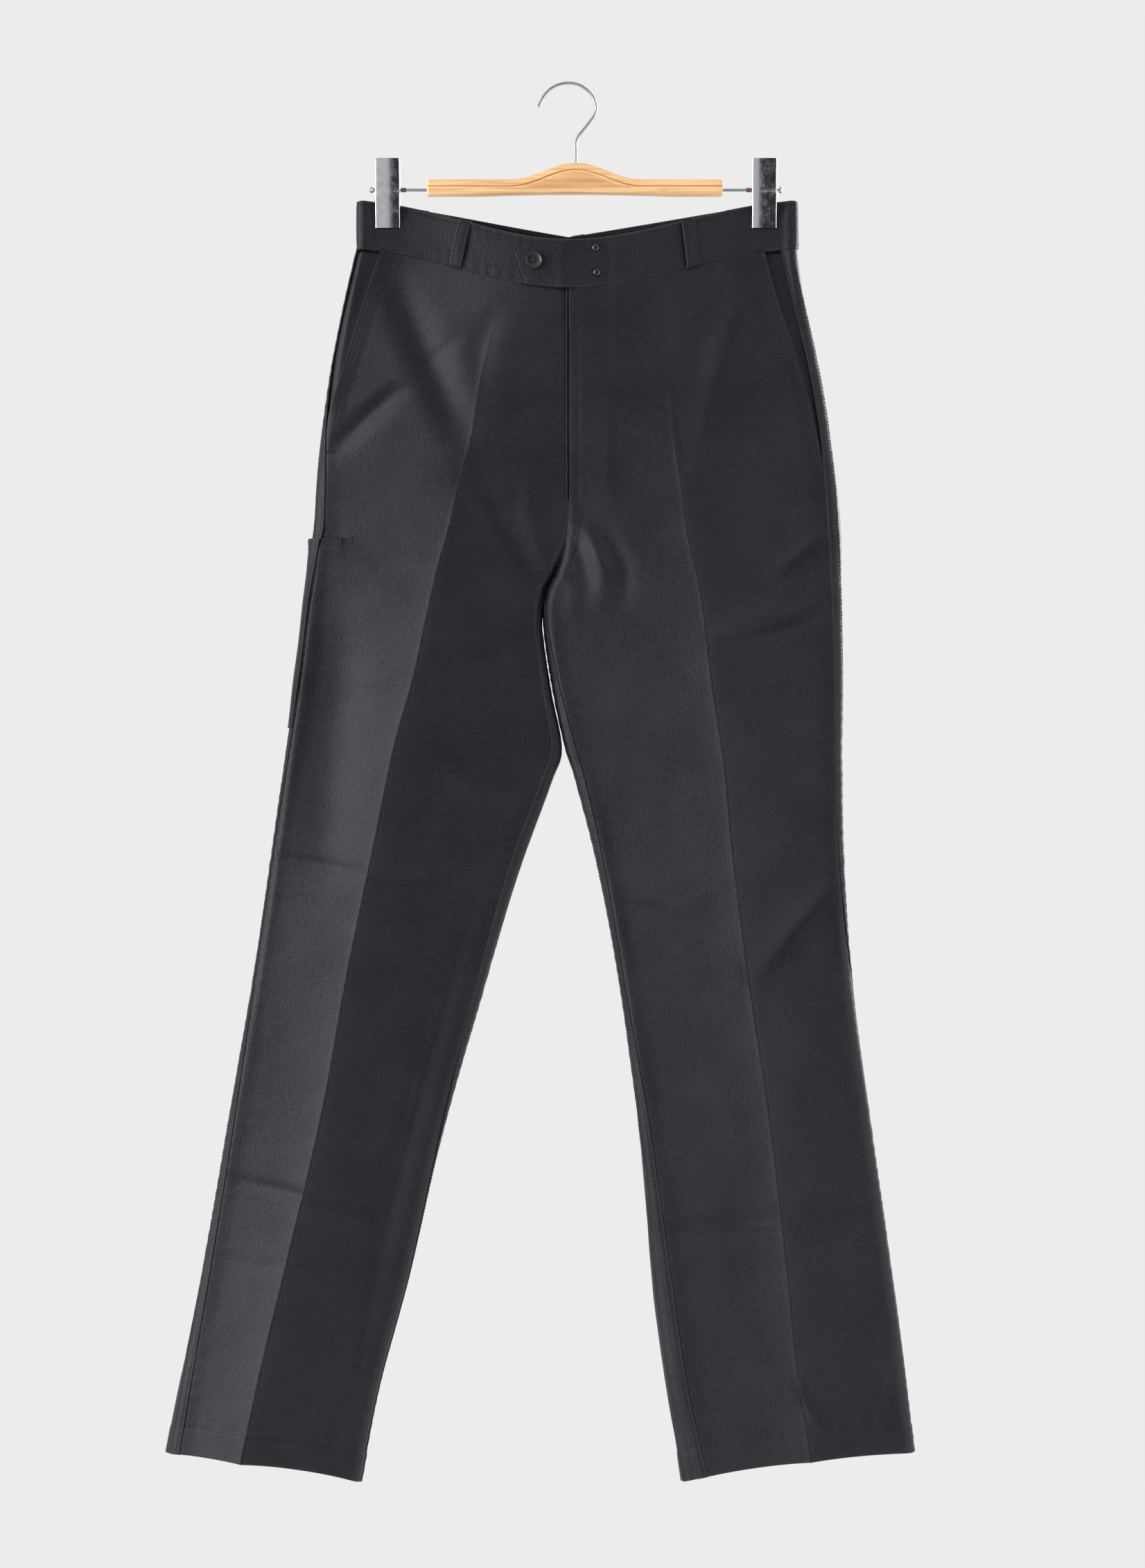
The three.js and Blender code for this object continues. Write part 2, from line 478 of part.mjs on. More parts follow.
// Belt loops: place across the body at the bottom and the top of each, and its face.
const BELT_LOOPS = [
  { name: 'belt_loop_front_right', face: 'front', xBottom: -98, xTop: -89 },
  { name: 'belt_loop_front_left', face: 'front', xBottom: 107, xTop: 102 },
  { name: 'belt_loop_back_right', face: 'back', xBottom: -130, xTop: -126 },
  { name: 'belt_loop_back_centre', face: 'back', xBottom: 6, xTop: 8 },
  { name: 'belt_loop_back_left', face: 'back', xBottom: 146, xTop: 142 },
];
const LOOP_WIDTH = 10;
const LOOP_WALL = 1.6;
const LOOP_ARCH = 1.6; // how far a loop bows away from the band
const LOOP_BOTTOM_ROW = 0.06;
const LOOP_TOP_ROW = -1.03;

function beltLoop({ face, xBottom, xTop }) {
  const surface = (row, arc) => bandPoint(face, row, arc);
  const stations = spaced(LOOP_BOTTOM_ROW, LOOP_TOP_ROW, 6).map((row) => {
    const u = (row - LOOP_BOTTOM_ROW) / (LOOP_TOP_ROW - LOOP_BOTTOM_ROW);
    const centre = bandArc(0, lerp(xBottom, xTop, u));
    const arch = LOOP_ARCH * Math.sin(u * Math.PI);
    return spaced(centre - LOOP_WIDTH / 2, centre + LOOP_WIDTH / 2, 2).map((arc) => [row, arc, arch]);
  });
  const sign = face === 'front' ? 1 : -1;
  return wall(stations, surface, { sign, thickness: LOOP_WALL, lift: BAND_PROUD + GAP + LOOP_WALL });
}

const wasm = await Module();
wasm.setup();

/** A closed geometry as a solid that can be joined and cut. */
function solidOf(geometry) {
  const bare = geometry.clone();
  bare.deleteAttribute('normal');
  bare.deleteAttribute('uv');
  const merged = mergeVertices(bare, 1e-4);
  return new wasm.Manifold(new wasm.Mesh({
    numProp: 3,
    vertProperties: new Float32Array(merged.attributes.position.array),
    triVerts: new Uint32Array(merged.index.array),
  }));
}

/** The geometry of a solid that was joined or cut. */
function geometryOf(solid) {
  const { vertProperties, triVerts } = solid.getMesh();
  const geometry = new THREE.BufferGeometry();
  geometry.setAttribute('position', new THREE.Float32BufferAttribute(vertProperties, 3));
  geometry.setIndex(Array.from(triVerts));
  return geometry;
}

/** A turned shape from radius and height pairs, about +Z. */
function turned(profile, sides) {
  const points = profile.map(([radius, height]) => new THREE.Vector2(radius, height));
  return new THREE.LatheGeometry(points, sides).rotateX(Math.PI / 2);
}

/** A round bar of one radius along X, Y or Z, about a centre. */
function roundBar(axis, radius, length, centre, sides = 12) {
  const bar = new THREE.CylinderGeometry(radius, radius, length, sides);
  if (axis === 'x') bar.rotateZ(Math.PI / 2);
  if (axis === 'z') bar.rotateX(Math.PI / 2);
  return bar.translate(...centre);
}

/** Moves a piece made about +Z onto the band, with +Z pointing out of the cloth. */
function seatOnBand(geometry, x, height, clearance) {
  const surface = (row, arc) => bandPoint('front', row, arc);
  const arc = bandArc(-height, x);
  const out = normalOf(surface, -height, arc, 1);
  const seat = surface(-height, arc).addScaledVector(out, BAND_PROUD + lapAt(arc) + clearance);
  const turn = new THREE.Quaternion().setFromUnitVectors(new THREE.Vector3(0, 0, 1), out);
  return geometry.applyQuaternion(turn).translate(seat.x, seat.y, seat.z);
}

// The button: a dished disc with a raised rim and four holes.
const BUTTON_RADIUS = 7.5;
const BUTTON_X = -29;
const BUTTON_HEIGHT = 0.5;
const BUTTON_HOLE = 0.85;
const BUTTON_HOLE_PITCH = 1.7;

function button() {
  const profile = [
    [0, 0], [5.8, 0], [7.1, 0.8], [BUTTON_RADIUS, 1.7], [7.1, 2.6], [6.2, 2.9], [5.2, 2.3], [0, 2],
  ];
  let disc = solidOf(turned(profile, 32));
  for (const [dx, dy] of [[1, 1], [1, -1], [-1, 1], [-1, -1]]) {
    const centre = [dx * BUTTON_HOLE_PITCH, dy * BUTTON_HOLE_PITCH, 1];
    disc = disc.subtract(solidOf(roundBar('z', BUTTON_HOLE, 6, centre, 8)));
  }
  return seatOnBand(geometryOf(disc), BUTTON_X, BUTTON_HEIGHT, GAP + 0.3);
}

const RIVETS = [{ name: 'rivet_upper', x: 23, height: 0.8 }, { name: 'rivet_lower', x: 24, height: 0.27 }];

function rivet({ x, height }) {
  const profile = [[0, 0], [3.3, 0], [3.3, 0.7], [2.9, 1.5], [2.1, 2.1], [1.1, 2.4], [0, 2.5]];
  return seatOnBand(turned(profile, 20), x, height, GAP);
}

// The hanger: a wooden bar with a crown, on a steel rod that carries both clips.
const ROD_Z = -91.4;
const ROD_RADIUS = 1.3;
const ROD_FROM = -169;
const ROD_TO = 181.5;
const ROD_KNOB = 2.8;
const BAR = { left: -122.7, right: 133.3, bottom: -96.6, arch: 1.6, top: -82.9, thickness: 12, bevel: 1.5 };
const CROWN = { centre: 6, halfWidth: 57, top: -68.6 };
const ARCH_HALF_WIDTH = 85; // the bar's lower edge is arched over this much each way
const WIRE_RADIUS = 1.3;
const STEM = { x: 6, bottom: -81 };

// The middle of the hook's wire, from the tip over the top and down the neck to the bend.
const HOOK_ROUTE = [
  { x: -26.6, z: -19.4 }, { x: -20.4, z: -8.4 }, { x: -14.2, z: -2.6 }, { x: -7.2, z: 0.4 },
  { x: 0.1, z: 1.3 }, { x: 7.4, z: 0.2 }, { x: 14.4, z: -3.6 }, { x: 19.8, z: -9.2 },
  { x: 22.9, z: -15.6 }, { x: 23.6, z: -21.2 }, { x: 22.2, z: -26.4 }, { x: 19.6, z: -30.4 },
  { x: 13.4, z: -38.4 }, { x: 7.6, z: -46 }, { x: STEM.x, z: -50.4 }, { x: STEM.x, z: -56 },
];

/** The bar seen from the front, with its crown rising in a smooth wave. */
function barOutline() {
  const { left, right, bottom, arch, top, bevel } = BAR;
  const shape = new THREE.Shape();
  shape.moveTo(left + bevel, bottom + bevel);
  for (const u of spaced(-1, 1, 12)) {
    const rise = arch * (0.5 + 0.5 * Math.cos(u * Math.PI)) ** 0.5;
    shape.lineTo(CROWN.centre + u * ARCH_HALF_WIDTH, bottom + bevel + rise);
  }
  shape.lineTo(right - bevel, bottom + bevel);
  shape.lineTo(right - bevel, top - bevel);
  for (const u of spaced(1, -1, 20)) {
    const rise = (CROWN.top - top) * (0.5 + 0.5 * Math.cos(u * Math.PI)) ** 1.05;
    shape.lineTo(CROWN.centre + u * CROWN.halfWidth, top - bevel + rise);
  }
  shape.lineTo(left + bevel, top - bevel);
  shape.closePath();
  return shape;
}

function hangerBar() {
  const { thickness, bevel, left, right } = BAR;
  const rounded = { bevelThickness: bevel, bevelSize: bevel, bevelSegments: 2 };
  const blank = new THREE.ExtrudeGeometry(barOutline(), { depth: thickness - 2 * bevel, ...rounded });
  blank.rotateX(Math.PI / 2).translate(0, thickness / 2 - bevel, 0);
  const rodHole = roundBar('x', ROD_RADIUS + GAP, right - left + 20, [CROWN.centre, 0, ROD_Z]);
  const hookHole = roundBar('z', WIRE_RADIUS + GAP, 30, [STEM.x, 0, STEM.bottom - GAP + 15]);
  return geometryOf(solidOf(blank).subtract(solidOf(rodHole)).subtract(solidOf(hookHole)));
}

/** The rod with a small knob at each end that keeps the clips on. */
function hangerRod() {
  const long = ROD_TO - ROD_FROM;
  const knob = (at, way) => [
    [ROD_RADIUS, at], [2.4, at + way * 0.4], [ROD_KNOB, at + way * 1.6],
    [2.4, at + way * 2.8], [1.2, at + way * 3.4], [0, at + way * 3.6],
  ];
  const profile = [...knob(0, -1).reverse(), ...knob(long, 1)];
  return turned(profile, 12).rotateY(Math.PI / 2).translate(ROD_FROM, 0, ROD_Z);
}

/** The wire hook: over the top, round the right side, and down into the crown. */
function hangerHook() {
  const route = [...HOOK_ROUTE, { x: STEM.x, z: STEM.bottom }];
  const points = route.map(({ x, z }) => new THREE.Vector3(x, 0, z));
  const path = new THREE.CatmullRomCurve3(points, false, 'centripetal');
  const wire = new THREE.Shape().absarc(0, 0, WIRE_RADIUS, 0, Math.PI * 2);
  return new THREE.ExtrudeGeometry(wire, { steps: 48, extrudePath: path, curveSegments: 5, bevelEnabled: false });
}

// A clip's jaw seen from the side: distance from the middle plane and height, from the grip up.
const JAW = [
  [3.9, -124.8], [3.9, -118], [5.5, -112], [8.5, -103], [8.2, -94], [6.8, -86], [9, -76], [13.5, -64],
];
const JAW_PLATE = 1.3;
const EAR_PLATE = 1.1;
// An ear's outline in the same view: it reaches from the plate past the rod.
const EAR = [[7.6, -101], [-3.6, ROD_Z - 3], [-3.6, ROD_Z + 3], [7.2, -85], [8.2, -93]];

/** One jaw: a bent plate with two ears that sit on the rod. */
function clipJaw(half, facing, inset) {
  const outer = JAW.map(([y, z]) => [y + JAW_PLATE, z]);
  const side = new THREE.Shape([...JAW, ...outer.reverse()].map(([y, z]) => new THREE.Vector2(y, z)));
  const plate = new THREE.ExtrudeGeometry(side, { depth: CLIP_WIDTH, bevelEnabled: false });
  let jaw = solidOf(plate);
  const ear = new THREE.Shape(EAR.map(([y, z]) => new THREE.Vector2(y, z)));
  for (const at of [inset, CLIP_WIDTH - inset - EAR_PLATE]) {
    const flap = new THREE.ExtrudeGeometry(ear, { depth: EAR_PLATE, bevelEnabled: false });
    jaw = jaw.add(solidOf(flap.translate(0, 0, at)));
  }
  const bore = roundBar('z', ROD_RADIUS + GAP, CLIP_WIDTH + 10, [0, ROD_Z, CLIP_WIDTH / 2]);
  const made = geometryOf(jaw.subtract(solidOf(bore)));
  // The side view's right, up and width become Y, Z and X.
  const basis = new THREE.Matrix4().makeBasis(
    new THREE.Vector3(0, facing, 0), new THREE.Vector3(0, 0, 1), new THREE.Vector3(facing, 0, 0),
  );
  return made.applyMatrix4(basis).translate(CLIP_X[half] - facing * CLIP_WIDTH / 2, 0, 0);
}

/** The spring on the rod between the ears, as the sleeve that its coils fill. */
function clipSpring(half) {
  const long = CLIP_WIDTH - 2 * (2 * EAR_PLATE + 3 * GAP) - 1;
  const [inside, outside] = [ROD_RADIUS + GAP, 4];
  const profile = [[inside, 0], [outside, 0], [outside, long], [inside, long], [inside, 0]];
  return turned(profile, 14).rotateY(Math.PI / 2).translate(CLIP_X[half] - long / 2, 0, ROD_Z);
}

/** A plain material. */
function finish(color, roughness, metalness = 0) {
  return new THREE.MeshStandardMaterial({ color, roughness, metalness });
}

const moleskin = finish(0x2b2a2d, 0.75);
const horn = finish(0x161515, 0.35);
const blackMetal = finish(0x0c0c0e, 0.2, 0.9);
const lacquer = finish(0xe6b578, 0.35);
const chrome = finish(0xd8d8da, 0.15, 1);
const steel = finish(0xa9a9ab, 0.35, 1);

/** Adds one named piece. */
function addPiece(group, name, geometry, material) {
  const mesh = new THREE.Mesh(geometry, material);
  mesh.name = name;
  group.add(mesh);
}

const trousers = new THREE.Group();
for (const [half, side] of [[RIGHT, 'right'], [LEFT, 'left']]) {
  addPiece(trousers, `front_${side}`, frontPanel(half), moleskin);
  addPiece(trousers, `back_${side}`, backPanel(half), moleskin);
  addPiece(trousers, `pocket_facing_${side}`, pocketFacing(half), moleskin);
}
addPiece(trousers, 'ruler_pocket', rulerPocket(), moleskin);
addPiece(trousers, 'waistband_right', waistbandRight(), moleskin);
addPiece(trousers, 'waistband_left', waistbandLeft(), moleskin);
addPiece(trousers, 'waistband_back', waistbandBack(), moleskin);
for (const loop of BELT_LOOPS) addPiece(trousers, loop.name, beltLoop(loop), moleskin);
addPiece(trousers, 'button', button(), horn);
for (const one of RIVETS) addPiece(trousers, one.name, rivet(one), blackMetal);

const hanger = new THREE.Group();
addPiece(hanger, 'hanger_bar', hangerBar(), lacquer);
addPiece(hanger, 'hanger_rod', hangerRod(), chrome);
addPiece(hanger, 'hanger_hook', hangerHook(), chrome);
for (const [half, side] of [[RIGHT, 'right'], [LEFT, 'left']]) {
  addPiece(hanger, `clip_front_jaw_${side}`, clipJaw(half, -1, 0), steel);
  addPiece(hanger, `clip_back_jaw_${side}`, clipJaw(half, 1, EAR_PLATE + GAP), steel);
  addPiece(hanger, `clip_spring_${side}`, clipSpring(half), steel);
}

const object = new THREE.Group();
object.add(trousers, hanger);
export default object;
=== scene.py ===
"""Black straight-leg work trousers, held by the waistband on a wooden hanger with two spring clips.

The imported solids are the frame. This script gives each of them its finished form: fine cloth shells
on the solids' own form with their folds, pressed creases, felled seams and stitching, and the
hanger, clips, button and rivets as they are made. The tables below hold millimetres, as a pattern
does; every mesh is in metres, +Z up, +X towards the wearer's left and -Y towards the front, with
the origin at the inside top of the hanger's hook.
"""
from __future__ import annotations

import logging
import math
from dataclasses import dataclass, field
from enum import Enum
from functools import partial
from typing import Callable, NamedTuple, Sequence

import bmesh
import bpy
import numpy as np
from mathutils import Matrix, Vector


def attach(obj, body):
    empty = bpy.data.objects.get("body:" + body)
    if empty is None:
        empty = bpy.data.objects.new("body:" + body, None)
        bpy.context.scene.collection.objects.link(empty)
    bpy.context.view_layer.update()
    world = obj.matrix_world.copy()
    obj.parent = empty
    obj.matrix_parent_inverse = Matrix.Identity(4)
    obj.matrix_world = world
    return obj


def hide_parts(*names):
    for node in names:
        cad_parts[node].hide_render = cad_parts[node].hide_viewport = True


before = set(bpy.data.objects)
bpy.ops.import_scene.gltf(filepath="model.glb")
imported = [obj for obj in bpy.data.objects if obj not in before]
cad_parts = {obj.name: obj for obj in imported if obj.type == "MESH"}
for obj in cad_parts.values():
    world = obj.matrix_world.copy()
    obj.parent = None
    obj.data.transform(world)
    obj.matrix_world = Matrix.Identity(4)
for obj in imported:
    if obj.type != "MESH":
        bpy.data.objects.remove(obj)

log = logging.getLogger("trousers")
Array = np.ndarray
Number = Array | float
Pair = tuple[Array, Array]
Piece = bpy.types.Object
Socket = bpy.types.NodeSocket
Material = bpy.types.Material
Path = Sequence[tuple[float, float]]
Three = tuple[float, float, float]
Four = tuple[float, float, float, float]
MM = 0.001
BODY = "root"


class Half(Enum):
    """The wearer's right half lies at -X and the left one at +X."""

    RIGHT = -1
    LEFT = 1

    @property
    def word(self) -> str:
        """The half's word in the names of its pieces."""
        return self.name.lower()


class Face(Enum):
    """The two faces of a leg as it hangs flat."""

    FRONT = "front"
    BACK = "back"


class Level(NamedTuple):
    """What both halves share at one section, from the waist seam (row 0) to the hem."""

    z_out: float
    z_in: float
    dip: float
    pinch: float
    open: float
    crisp: float
    side: float
    end_front: float
    end_back: float


class Section(NamedTuple):
    """Where one half's edges, crease and seams lie at one section."""

    out: float
    crease: float
    inn: float
    front: float
    back: float
    seam_out: float
    seam_in: float
    mouth: float


LEVELS = [
    Level(-142, -179, 1.1, 1, 1, 0.1, 5, 28, 20),
    Level(-185, -218, 1.1, 0.6, 1, 0.25, 6, 27, 27),
    Level(-239, -266, 1.2, 0.2, 1, 0.35, 8, 26, 33),
    Level(-293, -316, 1.3, 0, 1, 0.35, 9, 25, 36),
    Level(-347, -363, 1.4, 0, 1, 0.35, 9, 24, 36),
    Level(-381, -395, 1.5, 0, 0.9, 0.4, 9, 22, 33),
    Level(-406, -420, 1.5, 0, 0.55, 0.45, 9, 19, 27),
    Level(-428, -441, 1.5, 0, 0, 0.5, 9, 14, 18),
    Level(-461, -470, 1.5, 0, 0, 0.55, 9, 11, 13),
    Level(-511, -526, 1.5, 0, 0, 0.6, 9, 10, 11),
    Level(-557, -575, 1.6, 0, 0, 0.6, 9, 9, 10),
    Level(-593, -606, 1.6, 0, 0, 0.6, 9, 9, 10),
    Level(-665, -684, 1.7, 0, 0, 0.6, 9, 9, 9),
    Level(-767, -789, 1.8, 0, 0, 0.6, 9, 9, 9),
    Level(-887, -910, 1.9, 0, 0, 0.6, 9, 9, 9),
    Level(-1007, -1030, 2, 0, 0, 0.6, 9, 9, 9),
    Level(-1103, -1126, 2, 0, 0, 0.6, 9, 9, 9),
    Level(-1183, -1209, 2.2, 0, 0, 0.6, 9, 9, 9),
]
SECTIONS = {
    Half.RIGHT: [
        Section(-183, -49, 0, 24, 18, 0, 0, 21),
        Section(-193, -64, 0, 26, 26, 0, 0, 17),
        Section(-204, -76, 0, 29, 33, 0, 0, 12),
        Section(-212, -84, 0, 31, 39, 2, 0, 4),
        Section(-218, -96, 0, 33, 43, 7, 0, 7),
        Section(-221, -103, -2, 34, 44, 9, 0, 9),
        Section(-224, -110, -10, 34, 43, 7, 0, 7),
        Section(-226, -115, -20, 35, 42, 5, 0, 5),
        Section(-230, -122, -23, 35, 41, 4, 3, 4),
        Section(-236, -133, -15, 35, 38, 4, 6, 4),
        Section(-242, -146, -5, 35, 36, 3, 9, 3),
        Section(-247, -154, -14, 35, 35, 2, 10, 2),
        Section(-257, -169, -43, 35, 34, 1, 9, 1),
        Section(-272, -190, -75, 35, 34, 1, 6, 1),
        Section(-293, -212, -110, 36, 35, 5, 1, 5),
        Section(-314, -240, -138, 38, 36, 7, 0, 7),
        Section(-334, -263, -164, 39, 37, 11, 0, 11),
        Section(-350, -280, -180, 40, 38, 14, 0, 14),
    ],
    Half.LEFT: [
        Section(198, 78, 0, 25, 18, 14, 0, 29),
        Section(204, 80, 0, 27, 26, 10, 0, 24),
        Section(215, 84, 0, 29, 33, 8, 0, 18),
        Section(225, 90, 0, 31, 39, 9, 0, 14),
        Section(233, 97, 0, 32, 43, 11, 0, 11),
        Section(236, 101, -2, 33, 44, 12, 0, 12),
        Section(237, 106, -10, 33, 43, 11, 0, 11),
        Section(237, 111, -20, 33, 42, 10, 0, 10),
        Section(237.5, 116, -22, 33, 41, 9, 3, 9),
        Section(238, 122, -14, 33, 38, 8, 6, 8),
        Section(237.5, 129, -4, 32, 35, 7, 9, 7),
        Section(237, 134, 6, 31, 33, 6, 8, 6),
        Section(238, 141, 26, 30, 30, 4, 5, 4),
        Section(244, 154, 45, 28, 28, 0, 4, 0),
        Section(260, 172, 60, 27, 27, -1, 10, -1),
        Section(277, 186, 70, 26, 27, -1, 17, -1),
        Section(290, 196, 83, 26, 27, -1, 18, -1),
        Section(299, 208, 96, 26, 27, -1, 23, -1),
    ],
}
HEM_ROW = len(LEVELS) - 1
CROTCH_ROW = 7
EDGE_WIDTH = 9.0
ARC = 1.2
BAND_HEIGHT = 40.0
CLIP_WIDTH = 21.4
CLIP_X = {Half.RIGHT: -156.5, Half.LEFT: 169.0}
PINCHED = 2.5
LOOP_BULGE = 4.5
LOOP_CENTRE = 4.0
LOOP_SPREAD = 6.0
CENTRE_SLACK = 3.0
CENTRE_BACK_RISE = 9.0
CENTRE_STEP = 2.2
CENTRE_EASE = 16.0
FLY_BOTTOM = -362.0
FLY_WIDTH = 42.0
FLY_PROUD = 1.2


def clamp01(u: Number) -> Array:
    """A number held between 0 and 1."""
    return np.clip(u, 0.0, 1.0)


def smooth(u: Number) -> Array:
    """An eased step from 0 to 1."""
    u = clamp01(u)
    return u * u * (3 - 2 * u)


def lerp(a: Number, b: Number, u: Number) -> Array:
    """The number a share u of the way from a to b."""
    return a + (b - a) * u


def bump(distance: Array, width: float) -> Array:
    """A round hump of height 1 that has faded out by about twice its width."""
    return np.exp(-((distance / width) ** 2))


class Fold(NamedTuple):
    """A soft trough (negative depth) or ridge along a line of (x, z) points."""

    points: Path
    width: float
    depth: float


Folds = dict[tuple[Half, Face], list[Fold]]
RIGHT, LEFT, FRONT, BACK = Half.RIGHT, Half.LEFT, Face.FRONT, Face.BACK

# The main folds, which the solids have too.
MAIN_FOLDS: Folds = {
    (RIGHT, FRONT): [
        Fold(((-150, -172), (-94, -300)), 15, -6),
        Fold(((-206, -318), (-150, -268)), 9, -4),
        Fold(((-84, -345), (-26, -436)), 20, -6),
        Fold(((-104, -585), (-62, -622)), 13, 4),
        Fold(((-260, -668), (-172, -686)), 9, -2.5),
        Fold(((-100, -780), (-160, -1000)), 12, 3),
        Fold(((-294, -946), (-165, -977)), 9, -2.5),
    ],
    (LEFT, FRONT): [
        Fold(((150, -190), (120, -290)), 16, -4),
        Fold(((16, -388), (34, -436)), 10, 4),
        Fold(((226, -394), (180, -422)), 9, -4),
        Fold(((222, -448), (126, -477)), 10, -4),
        Fold(((234, -690), (160, -768)), 13, -4),
        Fold(((88, -989), (270, -968)), 9, -2.5),
    ],
    (RIGHT, BACK): [
        Fold(((-150, -172), (-110, -300)), 18, -7),
        Fold(((-70, -390), (-170, -470)), 15, -5),
        Fold(((-250, -660), (-120, -690)), 11, -4),
        Fold(((-285, -930), (-150, -965)), 11, -3),
    ],
    (LEFT, BACK): [
        Fold(((168, -172), (120, -310)), 18, -7),
        Fold(((60, -395), (190, -455)), 15, -5),
        Fold(((60, -700), (220, -670)), 11, -4),
        Fold(((90, -985), (260, -950)), 11, -3),
    ],
}


def along_path(path: Path, x: Array, z: Array) -> Pair:
    """How far points lie from a line of (x, z) points, and at which share of it they are nearest.

    Args:
        path: the line.
        x: the points' places across.
        z: the points' heights.

    Returns:
        The distance and the share, from 0 to 1, at each point.
    """
    shape = np.broadcast(x, z).shape
    nearest, place = np.full(shape, 1e9), np.zeros(shape)
    for i, ((x0, z0), (x1, z1)) in enumerate(zip(path, path[1:])):
        dx, dz = x1 - x0, z1 - z0
        along = clamp01(((x - x0) * dx + (z - z0) * dz) / (dx * dx + dz * dz))
        away = np.hypot(x - x0 - along * dx, z - z0 - along * dz)
        place = np.where(away < nearest, (i + along) / (len(path) - 1), place)
        nearest = np.minimum(away, nearest)
    return nearest, place


def fold_height(folds: Folds, half: Half, is_front: Array, x: Array, z: Array) -> Array:
    """How far folds move points in or out.

    Args:
        folds: the folds of each half and face.
        half: the half that the points are on.
        is_front: which of the points are on the front face.
        x: the points' places across.
        z: the points' heights.

    Returns:
        The height at each point, in millimetres.
    """
    total = np.zeros(np.broadcast(x, z).shape)
    for face in Face:
        same_face = is_front if face is FRONT else ~is_front
        for fold in folds[half, face]:
            nearest, place = along_path(fold.points, x, z)
            fade = np.sin(np.pi * (0.12 + 0.76 * place))
            total += np.where(same_face, fold.depth * fade * bump(nearest, fold.width), 0.0)
    return total


class Cut(NamedTuple):
    """One half's sections at an array of rows."""

    level: Level
    section: Section
    up: Array
    width: Array
    to_crease: Array
    turn_out: float
    turn_in: Array
    length: Array


